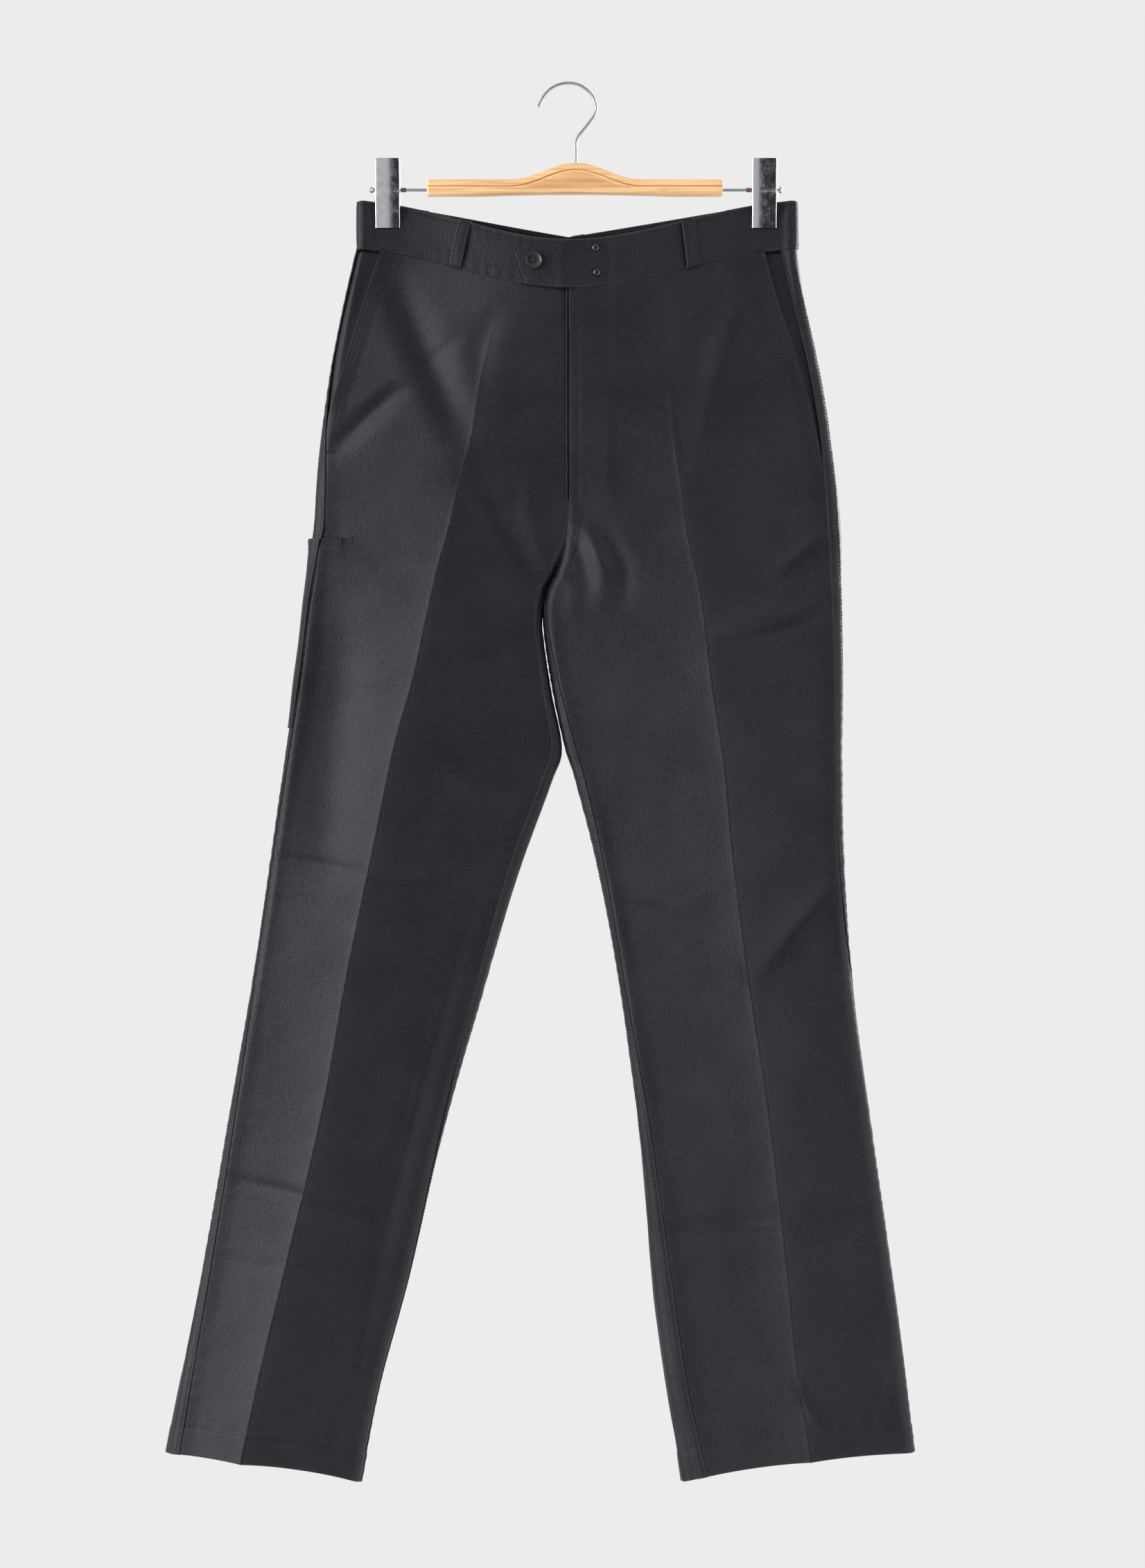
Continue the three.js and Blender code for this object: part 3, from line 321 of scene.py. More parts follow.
class Form:
    """The form of the garment: points of each half's hollow shape by row and arc length.

    The arc length runs from 0 at the outer edge, positive over the front and negative over the back,
    and past the inner edge it goes on over the other face. Row 0 is the waist seam, -1 the top of
    the waistband and the last level the hem.
    """

    def __init__(self) -> None:
        """Turns the tables into arrays."""
        self.levels = np.array(LEVELS, float)
        self.sections = {half: np.array(rows, float) for half, rows in SECTIONS.items()}

    @staticmethod
    def _rows_of(table: Array, row: Array) -> list[Array]:
        """Every column of a table at rows between its own, on a Catmull-Rom curve.

        Args:
            table: the table.
            row: the rows.

        Returns:
            An array for each column.
        """
        last = len(table) - 1
        t = np.clip(row, 0, last)
        i = np.minimum(last - 1, np.floor(t)).astype(int)
        u = (t - i)[..., None]
        p0, p1, p2, p3 = (table[np.clip(i + k, 0, last)] for k in (-1, 0, 1, 2))
        curve = 2 * p1 + (p2 - p0) * u + (2 * p0 - 5 * p1 + 4 * p2 - p3) * u * u
        curve = (curve + (3 * p1 - p0 - 3 * p2 + p3) * u ** 3) / 2
        return [curve[..., k] for k in range(curve.shape[-1])]

    def cut(self, half: Half, row: Number) -> Cut:
        """The sections of one half.

        Args:
            half: the half of the garment.
            row: rows, of which those below 0 are the waistband.

        Returns:
            The sections at those rows.
        """
        row = np.asarray(row, float)
        level = Level(*self._rows_of(self.levels, row))
        level = level._replace(open=clamp01(level.open))
        section = Section(*self._rows_of(self.sections[half], row))
        width = np.abs(section.inn - section.out)
        turn_out = EDGE_WIDTH * ARC
        turn_in = EDGE_WIDTH * lerp(ARC, 1, level.open)
        length = turn_out + width - 2 * EDGE_WIDTH + turn_in
        up = np.maximum(0, -row) * BAND_HEIGHT
        to_crease = np.abs(section.crease - section.out)
        return Cut(level, section, up, width, to_crease, turn_out, turn_in, length)

    @staticmethod
    def arc_from_out(cut: Cut, distance: Number) -> Array:
        """Arc length from the outer edge for a distance along X; negative ones are on the back."""
        d = np.abs(distance)
        rounded = cut.turn_out * np.arccos(np.clip(1 - d / EDGE_WIDTH, -1, 1)) / (math.pi / 2)
        return np.sign(distance) * np.where(d < EDGE_WIDTH, rounded, cut.turn_out + d - EDGE_WIDTH)

    @staticmethod
    def arc_from_in(cut: Cut, distance: Number) -> Array:
        """Arc length from the inner edge for a distance along X."""
        rounded = np.arccos(np.clip(1 - distance / EDGE_WIDTH, -1, 1)) / (math.pi / 2)
        near = cut.turn_in * lerp(rounded, distance / EDGE_WIDTH, cut.level.open)
        return np.where(distance >= EDGE_WIDTH, cut.turn_in + distance - EDGE_WIDTH, near)

    @staticmethod
    def _flank(u: Array, crisp: Array) -> Array:
        """The shape of the cloth from an edge (0) to the crease (1)."""
        return (1 - crisp) * np.sin(clamp01(u) * math.pi / 2) + crisp * clamp01(u) ** 1.7

    @staticmethod
    def _squeezed(half: Half, cut: Cut, from_out: Array, turn: Array, centre_depth: Array) -> Array:
        """How far the cloth stands from the middle plane where the clips squeeze the waist."""
        clip_end = np.abs(cut.section.out - CLIP_X[half]) + CLIP_WIDTH / 2 + 2
        loop = LOOP_BULGE * bump(from_out - LOOP_CENTRE, LOOP_SPREAD)
        u = clamp01((from_out - clip_end) / (cut.width - clip_end))
        return turn * (PINCHED + loop) + (centre_depth - PINCHED) * np.sin(u * math.pi / 2) ** 1.5

    def face_point(self, half: Half, cut: Cut, is_front: Array, arc: Array) -> Array:
        """The points at an arc length from the outer edge, on the front or the back face.

        Args:
            half: the half of the garment.
            cut: its sections, one for each point or row of points.
            is_front: whether each point is on the front face.
            arc: arc lengths from the outer edge, none negative.

        Returns:
            The points in millimetres, with their three numbers in the last axis.
        """
        level, section = cut.level, cut.section
        from_in = cut.length - arc
        round_out = clamp01(arc / cut.turn_out) * math.pi / 2
        turn_o = np.sin(round_out)
        from_out = np.where(arc < cut.turn_out, EDGE_WIDTH * (1 - np.cos(round_out)),
                            EDGE_WIDTH + arc - cut.turn_out)
        u_in = clamp01(from_in / cut.turn_in)
        near_in = from_in < cut.turn_in
        turn_i = np.where(near_in, np.sin(u_in * math.pi / 2), 1.0)
        turned = cut.width - EDGE_WIDTH * lerp(1 - np.cos(u_in * math.pi / 2), u_in, level.open)
        from_out = np.where(near_in, turned, from_out)
        crease = np.where(is_front, section.front, section.back)
        end = np.where(is_front, level.end_front, level.end_back)
        end_depth = end * level.open
        flank = self._flank(from_out / cut.to_crease, level.crisp)
        outer = level.side * turn_o + (crease - level.side) * flank
        beyond = (cut.width - from_out) / (cut.width - cut.to_crease)
        inner = end_depth + (end - end_depth) * turn_i + (crease - end) * self._flank(beyond, level.crisp)
        depth = np.where(from_out < cut.to_crease, outer, inner)
        centre = np.where(is_front, section.front + CENTRE_SLACK, end)
        pinched = self._squeezed(half, cut, from_out, turn_o, centre)
        depth = lerp(depth, pinched, level.pinch)
        u = clamp01(from_out / cut.width)
        v_shaped = u ** level.dip
        dipped = np.where(is_front, lerp(v_shaped, smooth(u), level.open), v_shaped)
        z = lerp(level.z_out, level.z_in, dipped) + cut.up
        rise = CENTRE_BACK_RISE * dipped * smooth(1 - (level.z_out - LEVELS[0].z_out) / -200)
        z = z + np.where(is_front, 0.0, rise)
        x = section.out - half.value * from_out
        folds = fold_height(MAIN_FOLDS, half, np.broadcast_to(is_front, x.shape), x, z)
        depth = depth + folds * turn_o * lerp(turn_i, 1, level.open)
        if half is LEFT:
            fly = smooth((z - FLY_BOTTOM + 12) / 24) * smooth((FLY_WIDTH - np.abs(x)) / 8)
            above = is_front & (level.z_out > LEVELS[CROTCH_ROW].z_out)
            depth = depth + np.where(above, FLY_PROUD * fly, 0)
        return np.stack([x, np.where(is_front, -depth, depth), z], axis=-1)

    def leg_point(self, half: Half, row: Array, arc: Array) -> Array:
        """Points of one half's form.

        Args:
            half: the half of the garment.
            row: rows of the form.
            arc: signed arc lengths from the outer edge.

        Returns:
            The points in millimetres.
        """
        cut = self.cut(half, row)
        far = np.abs(arc)
        wraps = far > cut.length
        is_front = (arc >= 0) ^ wraps
        return self.face_point(half, cut, is_front, np.where(wraps, 2 * cut.length - far, far))

    def band_point(self, face: Face, row: Array, arc: Array) -> Array:
        """Points of the waist as one loop.

        Args:
            face: the face that positive arc lengths are on.
            row: rows of the form.
            arc: arc lengths from the wearer's right side.

        Returns:
            The points in millimetres.
        """
        right, left = self.cut(RIGHT, row), self.cut(LEFT, row)
        front = np.full(np.shape(arc), face is FRONT)
        from_left = right.length + left.length - arc
        on_right = self.face_point(RIGHT, right, front ^ (arc < 0), np.clip(np.abs(arc), 0, right.length))
        on_left = self.face_point(LEFT, left, front ^ (from_left < 0),
                                  np.clip(np.abs(from_left), 0, left.length))
        loop = np.where((arc <= right.length)[..., None], on_right, on_left)
        eased = CENTRE_STEP / 2 * smooth(1 - np.abs(arc - right.length) / CENTRE_EASE) * (face is FRONT)
        loop[..., 1] += np.where(arc <= right.length, -eased, eased)
        return loop

    def band_arc(self, x: float) -> float:
        """Arc length on that loop, at the waist seam, for a place across the body."""
        right, left = self.cut(RIGHT, 0.0), self.cut(LEFT, 0.0)
        if x <= 0:
            return float(self.arc_from_out(right, x - right.section.out))
        return float(right.length + left.length - self.arc_from_out(left, left.section.out - x))


FORM = Form()
Surface = Callable[[Array, Array], Array]
Place = Callable[[Array, Array], Pair]


def normals(surface: Surface, row: Array, arc: Array, sign: int) -> Array:
    """The outward normals of a surface.

    Args:
        surface: gives points at rows and arc lengths.
        row: the rows.
        arc: the arc lengths.
        sign: 1, or -1 where the arc length runs the other way.

    Returns:
        A normal for each point.
    """
    d_row, d_arc = 0.04, 1.2
    along = surface(row, arc + d_arc) - surface(row, arc - d_arc)
    up = surface(row - d_row, arc) - surface(row + d_row, arc)
    normal = np.cross(along, up) * sign
    return normal / np.maximum(np.linalg.norm(normal, axis=-1, keepdims=True), 1e-9)


def lifted(surface: Surface, sign: int, row: Array, arc: Array, lift: Array) -> Pair:
    """A surface's points, raised along its outward normals, and those normals."""
    normal = normals(surface, row, arc, sign)
    return surface(row, arc) + normal * lift[..., None], normal


def soft_noise(u: Array, v: Array, size: float, seed: int) -> Array:
    """Smooth seeded noise from -1 to 1 over two lengths.

    Args:
        u: lengths one way.
        v: lengths the other way.
        size: how far apart its humps lie.
        seed: which pattern it is.

    Returns:
        The noise at each point.
    """
    cells = 64
    lattice = np.random.default_rng(seed).uniform(-1, 1, (cells, cells))
    a, b = np.asarray(u) / size + 1000.0, np.asarray(v) / size + 1000.0
    i, j = np.floor(a).astype(int), np.floor(b).astype(int)
    fa, fb = smooth(a - i), smooth(b - j)
    corner = [[lattice[(i + p) % cells, (j + q) % cells] for q in (0, 1)] for p in (0, 1)]
    return lerp(lerp(corner[0][0], corner[1][0], fa), lerp(corner[0][1], corner[1][1], fa), fb)


def new_piece(name: str, data: bpy.types.ID) -> Piece:
    """A new object in the scene."""
    piece = bpy.data.objects.new(name, data)
    bpy.context.scene.collection.objects.link(piece)
    return piece


class ShellMaker:
    """Makes closed cloth walls from grids of points."""

    @staticmethod
    def build(name: str, outer: Array, inner: Array, uv: Array, wear: Array) -> Piece:
        """A wall with an outer and an inner skin and a rounded edge all round.

        Args:
            name: the object's name.
            outer: rows by columns of points in millimetres.
            inner: the inner skin's points, one behind each outer one.
            uv: where each point lies on the flat cloth, in metres.
            wear: how rubbed the cloth is at each point, from 0 to 1.

        Returns:
            The object, at the origin, with its outer side facing out.
        """
        rows, columns = outer.shape[:2]
        number = np.arange(rows * columns).reshape(rows, columns)
        ring = np.concatenate([number[0, :-1], number[:-1, -1], number[-1, :0:-1], number[:0:-1, 0]])
        inside = np.clip(ring // columns, 1, rows - 2) * columns + np.clip(ring % columns, 1, columns - 2)
        flat_outer, flat_inner = outer.reshape(-1, 3), inner.reshape(-1, 3)
        away = flat_outer[ring] - flat_outer[inside]
        across = flat_outer[ring] - flat_inner[ring]
        thick = np.linalg.norm(across, axis=1, keepdims=True)
        across = across / np.maximum(thick, 1e-9)
        away = away - across * (away * across).sum(axis=1, keepdims=True)
        away = away / np.maximum(np.linalg.norm(away, axis=1, keepdims=True), 1e-9)
        middle = (flat_outer[ring] + flat_inner[ring]) / 2 + away * thick * 0.35
        points = np.concatenate([flat_outer, flat_inner, middle])
        total, step = rows * columns, len(ring)
        a, b, c, d = number[:-1, :-1], number[1:, :-1], number[1:, 1:], number[:-1, 1:]
        front = np.stack([a, b, c, d], axis=-1).reshape(-1, 4)
        back = front[:, ::-1] + total
        here, there = np.arange(step), (np.arange(step) + 1) % step
        mid_here, mid_there = 2 * total + here, 2 * total + there
        rim_out = np.stack([ring[here], ring[there], mid_there, mid_here], axis=-1)
        rim_in = np.stack([mid_here, mid_there, ring[there] + total, ring[here] + total], axis=-1)
        faces = np.concatenate([front, back, rim_out, rim_in])
        if ShellMaker._volume(points, faces) < 0:
            faces = faces[:, ::-1]
        mesh = bpy.data.meshes.new(name)
        mesh.from_pydata((points * MM).tolist(), [], faces.tolist())
        flat_uv = uv.reshape(-1, 2)
        all_uv = np.concatenate([flat_uv, flat_uv, flat_uv[ring]])
        flat_wear = wear.reshape(-1)
        all_wear = np.concatenate([flat_wear, flat_wear * 0, flat_wear[ring]])
        loops = np.zeros(len(mesh.loops), int)
        mesh.loops.foreach_get("vertex_index", loops)
        mesh.uv_layers.new(name="cloth").data.foreach_set("uv", all_uv[loops].astype(np.float32).ravel())
        mesh.attributes.new("wear", "FLOAT", "POINT").data.foreach_set("value", all_wear.astype(np.float32))
        mesh.shade_smooth()
        mesh.update()
        piece = new_piece(name, mesh)
        ShellMaker._declare(piece, outer)
        return piece

    @staticmethod
    def _declare(piece: Piece, outer: Array) -> None:
        """Says how large the cloth of a piece was cut, as measured along its outer skin."""
        across = np.linalg.norm(np.diff(outer, axis=1), axis=2)
        along = np.linalg.norm(np.diff(outer, axis=0), axis=2)
        width, length = (round(float(way.max()) * MM, 4) for way in (across.sum(axis=1), along.sum(axis=0)))
        area = float(((across[1:] + across[:-1]) * (along[:, 1:] + along[:, :-1])).sum() / 4) * MM * MM
        log.info("%s: cut %.3f x %.3f m, %.4f square metres", piece.name, width, length, area)

    @staticmethod
    def _volume(points: Array, faces: Array) -> float:
        """The signed volume inside closed quads."""
        a, b, c, d = (points[faces[:, k]] for k in range(4))
        cone = np.cross(a, b) * c + np.cross(a, c) * d
        return float(cone.sum())


EDGE_OFFSETS = np.array([0, 0.25, 0.7, 1.5, 2.3, 3.2, 4.6, 6.2, 7.0, 7.8, 9.0, 11.0, 14.5])
CREASE_OFFSETS = np.array([0.8, 1.8, 3.2, 5.2, 8.5])
ROW_PITCH = 3.2
PLAIN_COLUMNS = 20
STRIP_WIDTH = 9.0
STRIP_HEIGHT = 0.8
STITCH_ROWS = (1.8, 7.2)
HEM_DEPTH = 24.0

# Finer folds and press lines that only this script has.
FINE_FOLDS: Folds = {
    (RIGHT, FRONT): [
        Fold(((-140, -190), (-118, -240), (-98, -292), (-86, -330)), 16, -1.3),
        Fold(((-165, -180), (-146, -235), (-122, -290), (-100, -335), (-72, -390)), 14, 0.9),
        Fold(((-205, -318), (-176, -288), (-152, -269), (-128, -262)), 5, -1.6),
        Fold(((-202, -303), (-172, -277), (-148, -259)), 6, 0.9),
        Fold(((-126, -245), (-108, -232), (-94, -221)), 4, -1.4),
        Fold(((-62, -200), (-76, -226), (-80, -262)), 9, -1.5),
        Fold(((-48, -205), (-60, -236), (-62, -268)), 12, 0.8),
        Fold(((-86, -345), (-66, -380), (-44, -410), (-24, -432)), 10, -3.2),
        Fold(((-30, -330), (-34, -372), (-22, -415)), 8, 2.0),
        Fold(((-112, -580), (-86, -606), (-62, -618), (-44, -612)), 14, 3.2),
        Fold(((-196, -450), (-202, -557), (-212, -677)), 26, -6.0),
        Fold(((-60, -652), (-102, -778), (-120, -838), (-150, -958), (-186, -1138)), 5, 1.6),
        Fold(((-258, -667), (-216, -674), (-174, -684)), 3.5, -1.4),
        Fold(((-256, -674), (-214, -682), (-176, -691)), 4, 1.0),
        Fold(((-250, -702), (-214, -712), (-184, -728)), 5, -0.9),
        Fold(((-168, -684), (-130, -690), (-84, -676)), 5, -1.1),
        Fold(((-294, -946), (-240, -955), (-162, -976)), 3.5, -1.5),
        Fold(((-292, -953), (-240, -963), (-164, -984)), 4, 1.1),
        Fold(((-300, -1012), (-262, -1020), (-232, -1016)), 5, -0.8),
        Fold(((-190, -392), (-160, -414), (-130, -420)), 9, -1.2),
        Fold(((-232, -520), (-196, -532), (-160, -530)), 8, -0.9),
        Fold(((-40, -480), (-66, -500), (-112, -508)), 10, 1.6),
    ],
    (LEFT, FRONT): [
        Fold(((148, -190), (132, -226), (118, -286), (112, -330)), 9, -2.0),
        Fold(((80, -196), (88, -240), (94, -292), (98, -338)), 3, 0.8),
        Fold(((224, -394), (204, -404), (182, -420)), 3.5, -1.8),
        Fold(((224, -403), (204, -412), (184, -428)), 3.5, 1.2),
        Fold(((221, -448), (196, -462), (162, -472), (126, -477)), 4, -2.2),
        Fold(((220, -457), (194, -471), (160, -482), (130, -485)), 4.5, 1.4),
        Fold(((200, -436), (176, -446), (150, -450)), 5, -1.0),
        Fold(((236, -690), (206, -716), (184, -742), (162, -768)), 6, -2.0),
        Fold(((38, -704), (84, -706), (120, -694)), 4, -1.3),
        Fold(((124, -696), (176, -690), (236, -678)), 4, -1.3),
        Fold(((40, -712), (84, -713), (122, -702)), 4.5, 0.9),
        Fold(((88, -987), (138, -984), (184, -984)), 3.5, -1.4),
        Fold(((184, -984), (226, -978), (270, -967)), 3.5, -1.4),
        Fold(((90, -995), (140, -992), (186, -992)), 4, 1.0),
        Fold(((186, -992), (228, -986), (268, -976)), 4, 1.0),
        Fold(((196, -1118), (202, -1136), (214, -1156)), 3.5, -1.6),
        Fold(((14, -386), (24, -402), (30, -424), (24, -452)), 5, 2.2),
        Fold(((2, -394), (12, -412), (16, -436)), 4, -1.8),
        Fold(((-6, -424), (4, -440), (2, -462)), 4, 1.4),
        Fold(((34, -394), (48, -420), (46, -452)), 7, -2.0),
        Fold(((66, -860), (84, -872), (110, -868)), 8, -0.9),
        Fold(((226, -560), (196, -572), (160, -570)), 9, -1.0),
    ],
    (RIGHT, BACK): [
        Fold(((-40, -392), (-96, -420), (-176, -436)), 6, -2.4),
        Fold(((-60, -412), (-110, -448), (-168, -474)), 6, 2.0),
        Fold(((-252, -664), (-190, -676), (-120, -692)), 4, -1.8),
        Fold(((-246, -700), (-196, -716), (-150, -714)), 6, -1.2),
        Fold(((-288, -930), (-220, -948), (-150, -966)), 4, -1.6),
        Fold(((-150, -176), (-132, -236), (-112, -300)), 8, -2.0),
        Fold(((-60, -196), (-52, -250), (-58, -310)), 9, -2.0),
    ],
    (LEFT, BACK): [
        Fold(((40, -396), (104, -424), (186, -440)), 6, -2.4),
        Fold(((64, -414), (118, -446), (176, -468)), 6, 1.8),
        Fold(((48, -702), (130, -690), (226, -672)), 4, -1.8),
        Fold(((60, -740), (110, -744), (150, -730)), 6, -1.1),
        Fold(((88, -986), (170, -972), (262, -952)), 4, -1.5),
        Fold(((166, -176), (150, -240), (126, -306)), 8, -2.0),
        Fold(((58, -198), (52, -256), (62, -318)), 9, -2.0),
    ],
}


def height_rows(start: float, end: float, pitch: float = ROW_PITCH, extra: Sequence[float] = ()) -> Array:
    """Rows from start to end that lie a pitch apart in height.

    Args:
        start: the first row.
        end: the last row.
        pitch: how far apart they lie, in millimetres.
        extra: further heights above the last row, in millimetres.

    Returns:
        The rows, in order.
    """
    dense = np.linspace(start, end, 2000)
    cut = FORM.cut(LEFT, dense)
    fall = -(cut.level.z_out + cut.up)
    count = max(2, int(round((fall[-1] - fall[0]) / pitch)))
    wanted = np.linspace(fall[0], fall[-1], count + 1)
    added = [fall[-1] - h for h in extra if fall[-1] - h > fall[0]]
    near = [h for h in wanted if all(abs(h - other) > pitch * 0.3 for other in added)]
    near = [wanted[0], *near, wanted[-1]]
    return np.unique(np.interp(np.array(sorted({*near, *added})), fall, dense))


def creased_columns(start: Array, crease: Array, end: Array) -> Array:
    """Arc lengths from one edge over the crease to the other, close together at all three.

    Args:
        start: the first edge's arc length in each row.
        crease: the crease's.
        end: the other edge's.

    Returns:
        Rows by columns of arc lengths.
    """
    way = np.sign(end - start)[:, None]
    first, last = start[:, None] + way * EDGE_OFFSETS, end[:, None] - way * EDGE_OFFSETS[::-1]
    before = crease[:, None] - way * CREASE_OFFSETS[::-1]
    after = crease[:, None] + way * CREASE_OFFSETS
    steps = np.linspace(0, 1, PLAIN_COLUMNS + 2)[1:-1]
    out = lerp(first[:, -1:], before[:, :1], steps)
    back = lerp(after[:, -1:], last[:, :1], steps)
    return np.concatenate([first, out, before, crease[:, None], after, back, last], axis=1)


def puckers(along: Array, seed: int, wave: float = 11.0) -> Array:
    """The uneven little waves that a row of stitches draws the cloth into."""
    phase = along / wave + 0.9 * soft_noise(along, 0 * along, 37.0, seed)
    return np.sin(2 * math.pi * phase) * (0.55 + 0.45 * soft_noise(along, 0 * along, 60.0, seed + 1))


class Stitcher:
    """Collects stitches and joins them into one mesh of short rounded threads."""

    PITCH = 3.3
    LENGTH = 2.5
    RADIUS = 0.26

    def __init__(self) -> None:
        """Starts with no stitches."""
        self.ends: list[tuple[Array, Array, Array]] = []

    def run(self, place: Place, row: Array, arc: Array) -> None:
        """Sews along a line given by rows and arc lengths.

        Args:
            place: gives the points and normals of the cloth at rows and arc lengths.
            row: the line's rows.
            arc: the line's arc lengths.
        """
        points, _ = place(row, arc)
        along = np.concatenate([[0], np.cumsum(np.linalg.norm(np.diff(points, axis=0), axis=1))])
        count = int(along[-1] // self.PITCH)
        if count < 1:
            return
        middle = (np.arange(count) + 0.5) * along[-1] / count
        sides = []
        for way in (-0.5, 0.5):
            at = middle + way * self.LENGTH
            sides.append(place(np.interp(at, along, row), np.interp(at, along, arc)))
        (first, normal), (second, other) = sides
        self.ends.append((first, second, (normal + other) / 2))

    def bar(self, place: Place, row: Array, arc: Array) -> None:
        """Sews a bar tack: a close row of threads across a short line.

        Args:
            place: gives the points and normals of the cloth at rows and arc lengths.
            row: the line's rows.
            arc: the line's arc lengths.
        """
        points, normal = place(row, arc)
        along = np.concatenate([[0], np.cumsum(np.linalg.norm(np.diff(points, axis=0), axis=1))])
        at = np.arange(0.3, along[-1], 0.55)
        middle = np.stack([np.interp(at, along, points[:, k]) for k in range(3)], axis=1)
        normal = np.repeat(normal.mean(axis=0, keepdims=True), len(at), axis=0)
        way = np.cross(points[-1] - points[0], normal[0])
        way = way / np.linalg.norm(way) * 1.1
        self.ends.append((middle - way, middle + way, normal))

    def build(self, name: str) -> Piece:
        """Joins all the stitches into one object in metres."""
        first = np.concatenate([e[0] for e in self.ends])
        second = np.concatenate([e[1] for e in self.ends])
        normal = np.concatenate([e[2] for e in self.ends])
        normal = normal / np.linalg.norm(normal, axis=1, keepdims=True)
        along = second - first
        along = along / np.maximum(np.linalg.norm(along, axis=1, keepdims=True), 1e-9)
        aside = np.cross(along, normal)
        rings = []
        for share, height in ((0.22, 0.16), (0.78, 0.16)):
            centre = lerp(first, second, share) + normal * height
            rings.append([centre + aside * (c * self.RADIUS) + normal * (s * self.RADIUS)
                          for c, s in ((1, 0), (0, 1), (-1, 0), (0, -1))])
        tip, tail = first - normal * 0.1, second - normal * 0.1
        points = np.stack([tip, *rings[0], *rings[1], tail], axis=1).reshape(-1, 3)
        faces: list[tuple[int, ...]] = []
        for k in range(4):
            n = (k + 1) % 4
            faces += [(0, 1 + n, 1 + k), (1 + k, 1 + n, 5 + n, 5 + k), (5 + k, 5 + n, 9)]
        everything = [tuple(v + 10 * i for v in face) for i in range(len(first)) for face in faces]
        mesh = bpy.data.meshes.new(name)
        mesh.from_pydata((points * MM).tolist(), [], everything)
        mesh.shade_smooth()
        mesh.update()
        return new_piece(name, mesh)


# The fly's stitch lines on the left front, as (x, z) points.
FLY_EDGE_STITCH = ((8.6, -176), (8.2, -250), (8.0, -330), (7.4, -372))
FLY_CURVE = ((39.8, -175), (40.0, -240), (39.6, -300), (38.4, -328), (34.0, -350), (26.0, -366),
             (16.0, -377), (5.6, -383))


